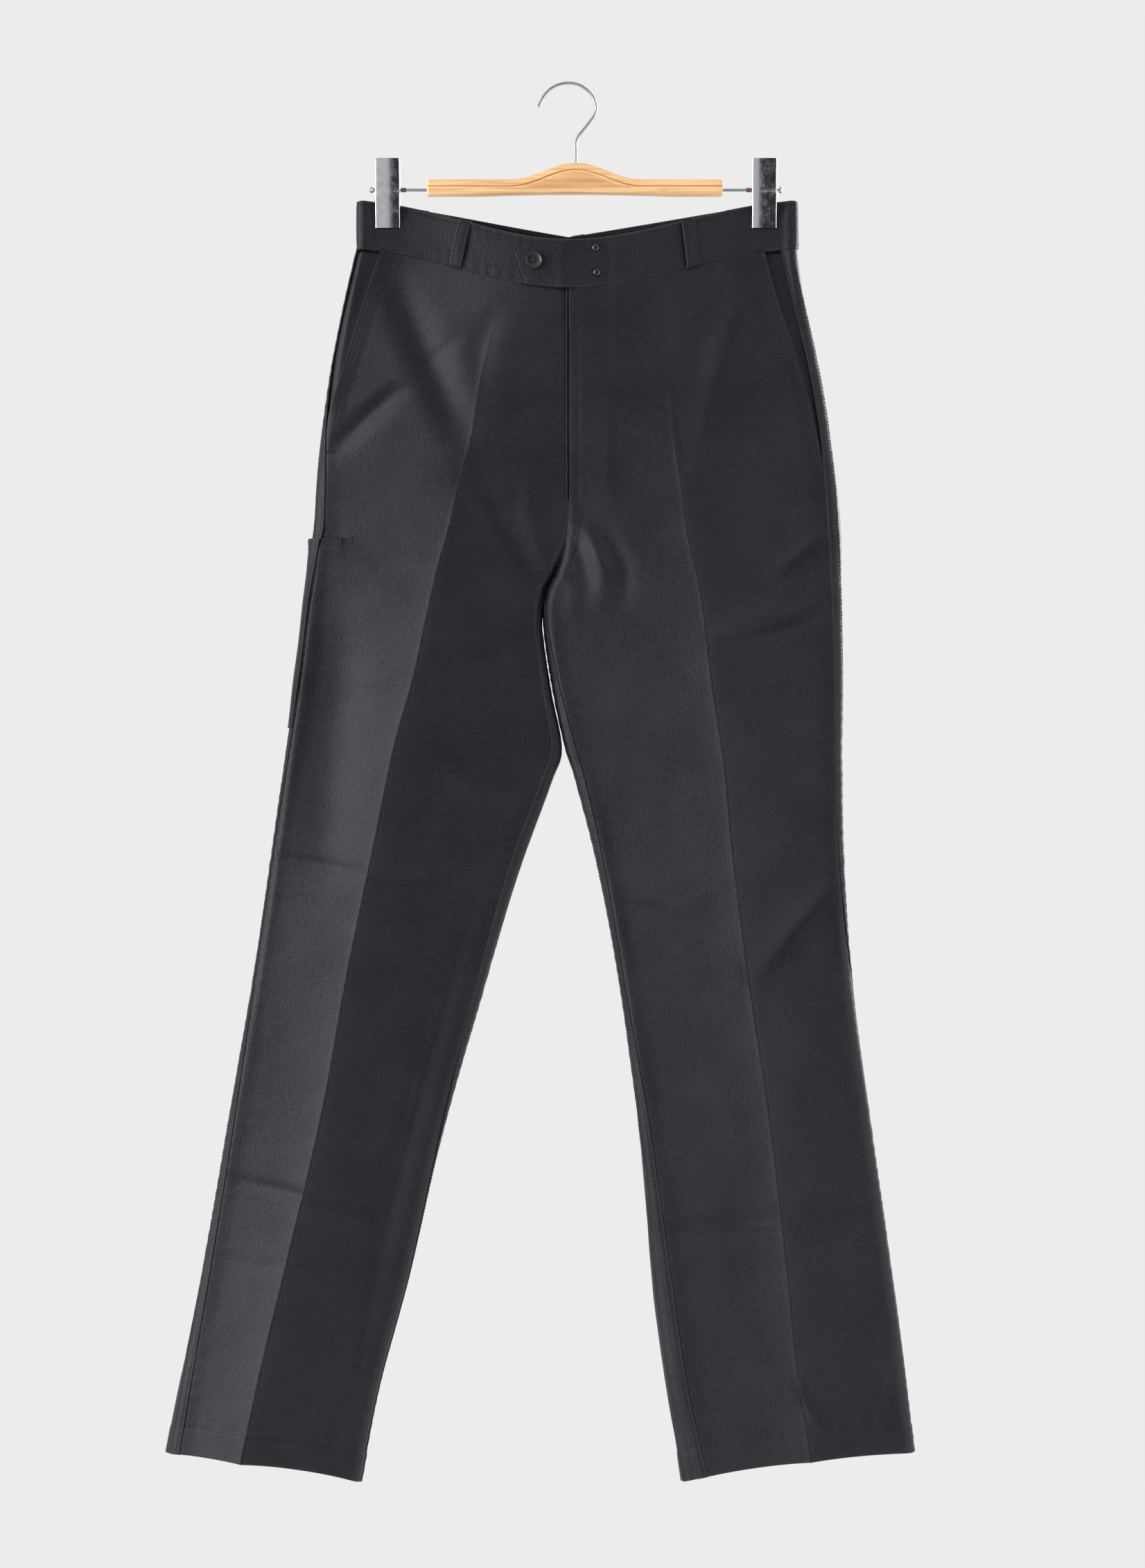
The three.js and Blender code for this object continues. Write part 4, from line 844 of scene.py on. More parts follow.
@dataclass
class LegPanel:
    """One cut panel of a leg: its edges, what its cloth does between them, and its finished mesh.

    Lengths are millimetres. A front panel runs from the pocket mouth or side seam to the centre or
    inside leg seam; a back panel turns forward round both edges and laps over the front's edges.
    """

    half: Half
    face: Face
    thickness: float = 1.4
    lap: float = 0.6
    crease_height: float = 0.25
    tent_height: float = 3.4
    tent_width: float = 17.0
    mouth_stitch: float = 11.0
    slit_height: float = -393.5
    slit_end: float = -193.0

    @property
    def name(self) -> str:
        """The solid that this panel stands for."""
        return f"{self.face.value}_{self.half.word}"

    @property
    def seed(self) -> int:
        """A number of its own for the panel's uneven features."""
        return 11 + 7 * (self.half is LEFT) + 3 * (self.face is BACK)

    def edges(self, cut: Cut) -> tuple[Array, Array, Array]:
        """Where the panel's edges and crease lie.

        Args:
            cut: the sections to look at.

        Returns:
            Arc lengths of its outer edge, crease and inner edge.
        """
        s = cut.section
        crease = FORM.arc_from_out(cut, cut.to_crease)
        inner = FORM.arc_from_in(cut, np.maximum(0, s.seam_in))
        if self.face is FRONT:
            start = FORM.arc_from_out(cut, np.maximum(s.mouth, s.seam_out))
            return start, crease, cut.length - inner - 0.1
        start = FORM.arc_from_out(cut, s.seam_out) + self.lap
        return start, -crease, -(cut.length + inner + self.lap * (1 - cut.level.open) - 0.1)

    def _noise(self, arc: Array, drop: Array) -> Array:
        """The soft unevenness of pressed cloth that has been folded and hung."""
        broad = soft_noise(arc, drop * 0.6, 62.0, self.seed)
        middle = soft_noise(arc, drop, 24.0, self.seed + 1)
        fine = soft_noise(arc, drop, 9.0, self.seed + 2)
        return 0.75 * broad + 0.24 * middle + 0.05 * fine

    def _fly(self, x: Array, z: Array) -> Array:
        """The fly's two rows of stitches: one along its edge and the curved one beside it."""
        deep = np.zeros(x.shape)
        for path, width in ((FLY_EDGE_STITCH, 0.9), (FLY_CURVE, 1.0)):
            away, _ = along_path(path, x, z)
            deep += 0.38 * bump(away, width) - 0.12 * bump(away - 4, 3)
        return -deep

    def relief(self, row: Array, arc: Array) -> Pair:
        """How far the cloth stands out.

        Args:
            row: rows of the form.
            arc: arc lengths from the outer edge.

        Returns:
            What both skins do, and what the outer skin does on top of that.
        """
        cut = FORM.cut(self.half, row)
        start, crease, end = self.edges(cut)
        base = FORM.leg_point(self.half, row, arc)
        x, z = base[..., 0], base[..., 2]
        far = np.abs(arc)
        is_front = (arc >= 0) ^ (far > cut.length)
        drop = LEVELS[0].z_out - cut.level.z_out
        hem = cut.level.z_out - LEVELS[-1].z_out
        from_start, from_end = np.abs(arc - start), np.abs(end - arc)
        from_crease = arc - crease
        closed = 1 - cut.level.open
        fade = smooth(from_start / 14) * smooth(from_end / 14)
        body = fold_height(FINE_FOLDS, self.half, is_front, x, z)
        body = (body + self._noise(arc, drop)) * lerp(0.25, 1, fade) * smooth((row + 0.15) / 0.6)
        pressed = smooth((row - 0.4) / 1.5)
        ridge = bump(from_crease, 1.2) - 0.2 * bump(np.abs(from_crease) - 4, 3)
        tent = np.exp(-np.abs(from_crease) / self.tent_width) - 0.3
        begun = smooth((row - (2.8 if self.half is RIGHT else 2)) / 1.6)
        body += (self.crease_height * ridge + self.tent_height * tent * fade * begun) * pressed
        top = np.zeros(body.shape)
        turned = smooth((HEM_DEPTH - hem) / 1.6)
        top += 0.5 * turned - 0.4 * bump(hem - HEM_DEPTH + 1.5, 0.9)
        body += 0.3 * puckers(arc, self.seed + 20, 16.0) * bump(hem - HEM_DEPTH, 10) * fade
        outer_waves = puckers(drop, 40 + (self.half is LEFT))
        inner_waves = puckers(drop, 50 + (self.half is LEFT))
        if self.face is BACK:
            for away, waves in ((from_start, outer_waves), (from_end, inner_waves)):
                top += STRIP_HEIGHT * (1 - smooth((away - STRIP_WIDTH + 1) / 1.4))
                for offset in STITCH_ROWS:
                    top -= 0.34 * bump(away - offset, 0.6)
                body += 0.28 * waves * bump(away - 5, 8)
        else:
            pocket = smooth((cut.section.mouth - cut.section.seam_out - 0.3) / 4)
            top -= (1 - pocket) * 0.35 * (1 - smooth(from_start / 2.5))
            body += 0.34 * outer_waves * bump(from_start - 3, 8)
            body += pocket * (0.9 * (1 - smooth(from_start / 20)) + 0.8 * bump(from_start, 4))
            for offset in (2.0, self.mouth_stitch):
                top -= pocket * 0.36 * bump(from_start - offset, 0.7)
            top -= closed * 0.35 * (1 - smooth(from_end / 2.5))
            body += 0.34 * inner_waves * bump(from_end - 3, 8) * lerp(0.4, 1, closed)
            top += self._front_extras(x, z, cut, from_end)
        return body, top

    def _front_extras(self, x: Array, z: Array, cut: Cut, from_end: Array) -> Array:
        """What only one front panel has: the fly's stitches, or the edge under it and the slit.

        Args:
            x: the points' places across.
            z: their heights.
            cut: the sections that they lie on.
            from_end: how far they are from the panel's inner edge.

        Returns:
            How far the outer skin stands out.
        """
        fly = smooth((z - FLY_BOTTOM + 6) / 12)
        seat = cut.level.open * (1 - fly)
        if self.half is LEFT:
            joined = seat * (0.55 * (1 - smooth((from_end - 8) / 1.4)) - 0.34 * bump(from_end - 1.8, 0.6)
                             - 0.34 * bump(from_end - 7.0, 0.6))
            return self._fly(x, z) + joined
        under = -0.9 * fly * (1 - smooth(from_end / 6)) - 0.3 * seat * (1 - smooth(from_end / 3))
        near = smooth((self.slit_end - x) / 3)
        below = self.slit_height - z
        lip = near * (1.1 * smooth((below + 0.8) / 1.2) * (1 - smooth((below - 4) / 22))
                      - 0.9 * smooth((-below) / 1.0 + 0.5) * (1 - smooth((-below - 3) / 14)))
        return under + lip - near * 0.35 * bump(below - 7, 0.8)

    def place(self, row: Array, arc: Array) -> Pair:
        """The outer skin's points and normals."""
        body, top = self.relief(row, arc)
        return lifted(partial(FORM.leg_point, self.half), -self.half.value, row, arc, body + top)

    def rows(self) -> Array:
        """The rows of the panel's grid."""
        fine_hem = (0.4, 1.2, 2.4, *[HEM_DEPTH - 1.5 + d for d in (-1.8, -0.9, -0.3, 0.3, 0.9, 1.8)])
        slit = self.slit_height - LEVELS[-1].z_out
        around = tuple(slit + d for d in (-8, -7, -6, -2.4, -1.2, -0.6, 0, 0.6, 1.2, 2.4))
        extra = fine_hem + (around if self.name == "front_right" else ())
        return height_rows(0, HEM_ROW, extra=extra)

    def build(self) -> Piece:
        """The finished panel.

        Returns:
            A closed cloth shell.
        """
        rows = self.rows()
        start, crease, end = self.edges(FORM.cut(self.half, rows))
        arc = creased_columns(start, crease, end)
        row = np.broadcast_to(rows[:, None], arc.shape)
        outer, normal = self.place(row, arc)
        _, top = self.relief(row, arc)
        inner = outer - normal * (top + self.thickness)[..., None]
        cut = FORM.cut(self.half, row)
        drop = LEVELS[0].z_out - cut.level.z_out
        uv = np.stack([arc * MM + 0.5, drop * MM], axis=-1)
        edges = bump(arc - start[:, None], 1.6) + bump(arc - end[:, None], 1.6)
        hem = cut.level.z_out - LEVELS[-1].z_out
        worn = 0.06 * bump(arc - crease[:, None], 1.2) * smooth(row / 2)
        worn += 0.2 * edges + 0.4 * bump(hem, 1.5)
        worn *= 0.65 + 0.35 * soft_noise(arc, drop, 30.0, self.seed + 5)
        return ShellMaker.build(f"{self.name}_cloth", outer, inner, uv, clamp01(worn))

    def sew(self, stitcher: Stitcher) -> None:
        """Adds the stitches that run on this panel."""
        dense = np.linspace(0.03, HEM_ROW - 0.01, 900)
        cut = FORM.cut(self.half, dense)
        start, _, end = self.edges(cut)
        way = 1 if self.face is FRONT else -1
        height = LEVELS[-1].z_out + HEM_DEPTH - 1.5
        hem_row = float(np.interp(-height, -cut.level.z_out, dense))
        across = np.linspace(0.6, abs(float(np.interp(hem_row, dense, end - start))) - 0.6, 160)
        at_hem = float(np.interp(hem_row, dense, start)) + way * across
        stitcher.run(self.place, np.full(160, hem_row), at_hem)
        if self.face is BACK:
            for offset in STITCH_ROWS:
                stitcher.run(self.place, dense, start - offset)
                stitcher.run(self.place, dense, end + offset)
            return
        pocket = cut.section.mouth - cut.section.seam_out > 0.4
        for offset in (2.0, self.mouth_stitch):
            stitcher.run(self.place, dense[pocket], (start + offset)[pocket])
        low = dense[pocket][-1]
        arc_low = float(np.interp(low, dense, start))
        stitcher.bar(self.place, np.full(9, low), arc_low + np.linspace(0.5, 9, 9))
        if self.half is LEFT:
            seat = (cut.level.open > 0.05) & (cut.level.z_in < FLY_BOTTOM - 12)
            for offset in (1.8, 7.0):
                stitcher.run(self.place, dense[seat], (end - offset)[seat])
            for path in (FLY_EDGE_STITCH, FLY_CURVE):
                stitcher.run(self.place, *self.locate(path))
            stitcher.bar(self.place, *self.locate(((3.0, -380), (7.5, -381))))
            return
        for path in (((-197, -398.5), (-196, -393)), ((-187.6, -398), (-187, -393))):
            stitcher.bar(self.place, *self.locate(path))

    def locate(self, path: Path) -> Pair:
        """Rows and arc lengths along a line of (x, z) points on this panel."""
        dense = np.linspace(0, HEM_ROW, 700)
        cut = FORM.cut(self.half, dense)
        rows, arcs = [], []
        for (x0, z0), (x1, z1) in zip(path, path[1:]):
            for u in np.linspace(0, 1, 12):
                x, z = lerp(x0, x1, u), lerp(z0, z1, u)
                arc = FORM.arc_from_out(cut, self.half.value * (cut.section.out - x))
                height = FORM.leg_point(self.half, dense, arc)[:, 2]
                rows.append(float(np.interp(-z, -height, dense)))
                arcs.append(float(np.interp(rows[-1], dense, arc)))
        return np.array(rows), np.array(arcs)


@dataclass
class PocketFacing:
    """The cloth that shows behind a slant pocket mouth."""

    half: Half
    wall: float = 1.0
    clear: float = 0.7
    under: float = 8.0
    top_row: float = 0.12
    end_row: float = 3.5

    @property
    def name(self) -> str:
        """The solid that this facing stands for."""
        return f"pocket_facing_{self.half.word}"

    def build(self) -> Piece:
        """The finished facing.

        Returns:
            A closed cloth shell.
        """
        rows = height_rows(self.top_row, self.end_row)
        cut = FORM.cut(self.half, rows)
        start = FORM.arc_from_out(cut, cut.section.seam_out) + 0.4
        end = FORM.arc_from_out(cut, np.maximum(cut.section.mouth, cut.section.seam_out)) + self.under
        arc = lerp(start[:, None], end[:, None], np.linspace(0, 1, 22))
        row = np.broadcast_to(rows[:, None], arc.shape)
        drop = LEVELS[0].z_out - FORM.cut(self.half, row).level.z_out
        waves = 0.3 * soft_noise(arc, drop, 26.0, 71) * smooth((arc - start[:, None]) / 5)
        lift = waves - 1.4 - self.clear * 0.4
        outer, normal = lifted(partial(FORM.leg_point, self.half), -self.half.value, row, arc, lift)
        uv = np.stack([arc * MM + 0.3, drop * MM + 0.05], axis=-1)
        return ShellMaker.build(f"{self.name}_cloth", outer, outer - normal * self.wall, uv, 0 * drop)


@dataclass
class ToolPocket:
    """The long pocket on the wearer's right thigh, from the side seam backwards."""

    top_row: float = 5.5
    bottom_row: float = 10.0
    reach: float = 0.823
    wall: float = 1.4
    lip: float = 1.4
    panel: LegPanel = field(default_factory=lambda: LegPanel(RIGHT, BACK))

    def _relief(self, row: Array, share: Array, arc: Array, drop: Array) -> Array:
        """How far the pocket's cloth stands off the back panel."""
        lip = self.lip * (1 - smooth((row - self.top_row) / 0.45))
        sag = 2.2 * np.sin(math.pi * clamp01(share)) * bump(row - self.top_row - 0.7, 1.1)
        waves = 0.4 * soft_noise(arc, drop, 34.0, 91)
        return lip + sag + waves

    def place(self, row: Array, arc: Array) -> Pair:
        """The pocket's outer points and normals."""
        start, end = self._sides(row)
        drop = LEVELS[0].z_out - FORM.cut(RIGHT, row).level.z_out
        lift = self._relief(row, (arc - start) / (end - start), arc, drop) + self.wall + 0.4
        return lifted(partial(FORM.leg_point, RIGHT), -RIGHT.value, row, arc, lift)

    def _sides(self, row: Array) -> Pair:
        """Arc lengths of the pocket's two sides."""
        start, crease, _ = self.panel.edges(FORM.cut(RIGHT, row))
        return start - 0.4, lerp(start, crease, self.reach)

    def build(self) -> Piece:
        """The finished pocket.

        Returns:
            A closed cloth shell.
        """
        rows = height_rows(self.top_row, self.bottom_row, extra=(0.4, 1.2, 2.0, 3.0))
        rows = np.unique(np.concatenate([rows, self.top_row + np.array([0.006, 0.02, 0.05, 0.12])]))
        start, end = self._sides(rows)
        edge = np.array([0, 0.3, 1.0, 1.8, 2.6, 4.2]) / 100
        share = np.concatenate([edge, np.linspace(0.07, 0.93, 26), 1 - edge[::-1]])
        arc = lerp(start[:, None], end[:, None], share)
        row = np.broadcast_to(rows[:, None], arc.shape)
        outer, normal = self.place(row, arc)
        drop = LEVELS[0].z_out - FORM.cut(RIGHT, row).level.z_out
        along = np.broadcast_to(share, arc.shape)
        furrow = 0.3 * (bump((along - 0.018) * 100, 0.6) + bump((1 - along - 0.018) * 100, 0.6))
        furrow += 0.3 * bump((self.bottom_row - row) * 36 - 2, 0.8)
        outer = outer - normal * furrow[..., None]
        inner = outer - normal * (self.wall - furrow)[..., None]
        uv = np.stack([arc * MM + 0.6, drop * MM + 0.1], axis=-1)
        worn = clamp01(0.6 * bump((row - self.top_row) * 30, 1.5))
        return ShellMaker.build("ruler_pocket_cloth", outer, inner, uv, worn)

    def sew(self, stitcher: Stitcher) -> None:
        """The rows of stitches round the pocket and under its lip."""
        rows = np.linspace(self.top_row + 0.03, self.bottom_row - 0.06, 160)
        start, end = self._sides(rows)
        stitcher.run(self.place, rows, lerp(start, end, 0.018))
        stitcher.run(self.place, rows, lerp(start, end, 0.982))
        for row in (self.top_row + 0.36, self.bottom_row - 0.06):
            first, last = self._sides(np.array([row]))
            stitcher.run(self.place, np.full(60, row), np.linspace(first[0] - 1, last[0] + 1, 60))


def loop_lengths() -> tuple[float, float]:
    """Arc length of the centre front and of the whole front on the waist's loop."""
    right, left = FORM.cut(RIGHT, 0.0), FORM.cut(LEFT, 0.0)
    return float(right.length), float(right.length + left.length)


CENTRE_ARC, LOOP_ARC = loop_lengths()


class BandPart(NamedTuple):
    """A stretch of the waistband: its node, its face, and where it starts and ends at each height."""

    name: str
    face: Face
    start: Callable[[Array], Array]
    end: Callable[[Array], Array]


@dataclass
class Waistband:
    """The waistband, folded double: a right and a left front with a pointed tab, and a back.

    Lengths are millimetres; v is the height above the waist seam.
    """

    wall: float = 2.4
    proud: float = 0.5
    gap: float = 0.3
    overhang: float = 1.4
    tab_bottom: float = 40.0
    tab_point: float = 49.0
    tab_top: float = 29.0
    tab_point_share: float = 0.62
    tab_ease: float = 12.0
    tab_ease_start: float = -6.0
    edge_stitch: float = 2.2
    under_end: float = 9.0
    parts: tuple[BandPart, ...] = ()

    def __post_init__(self) -> None:
        """Lays out the three stretches."""
        side = self.gap
        self.parts = (
            BandPart("waistband_right", FRONT, lambda v: 0 * v + side,
                     lambda v: 0 * v + CENTRE_ARC - self.under_end),
            BandPart("waistband_left", FRONT, lambda v: CENTRE_ARC - self.tab_reach(v),
                     lambda v: 0 * v + LOOP_ARC - side),
            BandPart("waistband_back", BACK, lambda v: 0 * v + side, lambda v: 0 * v + LOOP_ARC - side),
        )

    def tab_reach(self, v: Array) -> Array:
        """How far the tab reaches past the centre at a height above the waist seam."""
        share = clamp01(np.asarray(v) / BAND_HEIGHT)
        point = self.tab_point_share
        low = lerp(self.tab_bottom, self.tab_point, share / point)
        high = lerp(self.tab_point, self.tab_top, (share - point) / (1 - point))
        return np.where(share < point, low, high)

    def lap(self, arc: Array) -> Array:
        """How far the lap over the right front lifts the left one."""
        eased = (CENTRE_ARC + self.tab_ease - arc) / (self.tab_ease - self.tab_ease_start)
        return (self.wall + 2 * self.gap) * smooth(eased)

    def heights(self) -> Array:
        """Heights above the waist seam of the band's grid, close together at its stitched edges."""
        s = self.edge_stitch
        low = [-self.overhang, -1.0, -0.4, 0.4, s - 0.9, s - 0.3, s + 0.3, s + 0.9, 4.4, 6.5]
        high = [BAND_HEIGHT - h for h in (0, 0.5, 1.2, s - 0.6, s - 0.2, s + 0.2, s + 0.7, 4.2, 6.2)]
        return np.array(sorted([*low, *np.linspace(9, 31, 10), *high]))

    def relief(self, face: Face, v: Array, arc: Array, from_ends: Array) -> Array:
        """What the band's cloth does: soft waves, seam puckers and stitch furrows.

        Args:
            face: the face that the stretch is on.
            v: heights above the waist seam.
            arc: arc lengths on the waist's loop.
            from_ends: how far the points are from the stretch's ends.

        Returns:
            How far the cloth stands out.
        """
        seed = 130 + 20 * (face is BACK)
        waves = 0.55 * soft_noise(arc, v, 46.0, seed) + 0.16 * soft_noise(arc, v, 15.0, seed + 1)
        low = 0.3 * puckers(arc, seed + 2, 9.0) * bump(v - self.edge_stitch, 6)
        high = 0.22 * puckers(arc, seed + 4, 10.0) * bump(BAND_HEIGHT - v - self.edge_stitch, 6)
        furrows = sum(bump(away - self.edge_stitch, 0.6) for away in (v, BAND_HEIGHT - v))
        ends = bump(from_ends - self.edge_stitch, 0.6) if face is FRONT else 0
        top = 0.25 * smooth(v / 1.5) * smooth((BAND_HEIGHT - v) / 1.5)
        return waves + low + high + top - 0.36 * (furrows + ends)

    def place_on(self, part: BandPart, v: Array, arc: Array) -> Pair:
        """The outer side of one stretch.

        Args:
            part: the stretch.
            v: heights above the waist seam.
            arc: arc lengths on the waist's loop.

        Returns:
            Points and normals.
        """
        row = -v / BAND_HEIGHT
        laps = part.name == "waistband_left"
        ends = np.minimum(arc - part.start(v), part.end(v) - arc) + (0 if laps else 30)
        lift = self.proud + self.relief(part.face, v, arc, ends) + (self.lap(arc) if laps else 0)
        return lifted(partial(FORM.band_point, part.face), 1 if part.face is FRONT else -1, row, arc, lift)

    def build_part(self, part: BandPart) -> Piece:
        """One finished stretch of the band.

        Args:
            part: the stretch.

        Returns:
            A closed cloth shell.
        """
        heights = self.heights()
        start, end = part.start(heights), part.end(heights)
        edge = np.array([0, 0.3, 1.0, 1.7, 2.2, 2.7, 3.6, 5.0])
        count = int((end[0] - start[0]) / 2.6)
        plain = np.linspace(0, 1, count)[1:-1]
        inside = lerp((start + 6.5)[:, None], (end - 6.5)[:, None], plain)
        arc = np.concatenate([start[:, None] + edge, inside, end[:, None] - edge[::-1]], axis=1)
        v = np.broadcast_to(heights[:, None], arc.shape)
        outer, normal = self.place_on(part, v, arc)
        inner = outer - normal * self.wall
        uv = np.stack([arc * MM, 0.02 + v * MM + 1.1], axis=-1)
        worn = 0.5 * bump(BAND_HEIGHT - v, 1.2) + 0.3 * bump(v, 1.2)
        return ShellMaker.build(f"{part.name}_cloth", outer, inner, uv, clamp01(worn))

    def sew(self, stitcher: Stitcher) -> None:
        """Rows of stitches along every edge of the band, and the buttonhole."""
        for part in self.parts:
            place = partial(self.place_on, part)
            s = self.edge_stitch
            for v in (s, BAND_HEIGHT - s):
                arc = np.linspace(float(part.start(v)) + s, float(part.end(v)) - s, 400)
                stitcher.run(place, np.full(400, v), arc)
            if part.name == "waistband_left":
                v = np.linspace(s, BAND_HEIGHT - s, 80)
                stitcher.run(place, v, part.start(v) + s)
                for aside in (-1.1, 1.1):
                    stitcher.bar(place, np.linspace(19 + aside, 26 + aside, 9),
                                 np.linspace(CENTRE_ARC - 19, CENTRE_ARC - 8.5, 9))


class BeltLoop(NamedTuple):
    """Where one belt loop crosses the band, by its places across the body at bottom and top."""

    name: str
    face: Face
    x_bottom: float
    x_top: float


@dataclass
class BeltLoops:
    """The five belt loops, each a folded strip sewn down at both ends."""

    width: float = 10.0
    wall: float = 1.6
    arch: float = 1.6
    bottom_row: float = 0.06
    top_row: float = -1.03
    band: Waistband = field(default_factory=Waistband)
    loops: tuple[BeltLoop, ...] = (
        BeltLoop("belt_loop_front_right", FRONT, -98, -89),
        BeltLoop("belt_loop_front_left", FRONT, 107, 102),
        BeltLoop("belt_loop_back_right", BACK, -130, -126),
        BeltLoop("belt_loop_back_centre", BACK, 6, 8),
        BeltLoop("belt_loop_back_left", BACK, 146, 142),
    )

    def place_on(self, loop: BeltLoop, share: Array, across: Array) -> Pair:
        """A loop's outer side.

        Args:
            loop: the loop.
            share: shares of its length, from the bottom.
            across: distances from its middle line.

        Returns:
            Points and normals.
        """
        row = lerp(self.bottom_row, self.top_row, share)
        x = lerp(loop.x_bottom, loop.x_top, share)
        arc = np.vectorize(FORM.band_arc)(x) + across
        held = smooth(share / 0.09) * smooth((1 - share) / 0.09)
        bow = self.arch * np.sin(math.pi * clamp01(share)) * held
        rounded = -0.35 * clamp01(np.abs(across) / (self.width / 2)) ** 6
        lift = 0.8 + self.wall + bow + rounded - 0.4 * (1 - held)
        return lifted(partial(FORM.band_point, loop.face), 1 if loop.face is FRONT else -1, row, arc, lift)

    def build_loop(self, loop: BeltLoop) -> Piece:
        """One finished belt loop.

        Args:
            loop: the loop.

        Returns:
            A closed cloth shell.
        """
        ends = np.array([0, 0.01, 0.03, 0.06, 0.09])
        share = np.concatenate([ends, np.linspace(0.13, 0.87, 22), 1 - ends[::-1]])
        half = self.width / 2
        side = np.array([1.2, 2.4, 2.8, 3.2, 3.9, half - 0.3, half])
        across = np.concatenate([-side[::-1], [0], side])
        share_grid = np.broadcast_to(share[:, None], (len(share), len(across)))
        across_grid = np.broadcast_to(across, share_grid.shape)
        outer, normal = self.place_on(loop, share_grid, across_grid)
        furrow = 0.28 * bump(np.abs(across_grid) - 2.8, 0.4)
        outer = outer - normal * furrow[..., None]
        inner = outer - normal * (self.wall - furrow)[..., None]
        uv = np.stack([across_grid * MM + 0.5, share_grid * 0.045 + 1.2], axis=-1)
        worn = clamp01(0.5 * bump(np.abs(across_grid) - half, 0.7))
        return ShellMaker.build(f"{loop.name}_cloth", outer, inner, uv, worn)

    def sew(self, stitcher: Stitcher) -> None:
        """Two rows of stitches along each loop and a bar tack at each end."""
        for loop in self.loops:
            place = partial(self.place_on, loop)
            for across in (-2.8, 2.8):
                stitcher.run(place, np.linspace(0.05, 0.95, 60), np.full(60, across))
            for share in (0.05, 0.95):
                stitcher.bar(place, np.full(9, share), np.linspace(-4, 4, 9))


ROD_HEIGHT = -91.4
ROD_RADIUS = 1.3
ALONG = 0.9
TOUCH = 1e-5


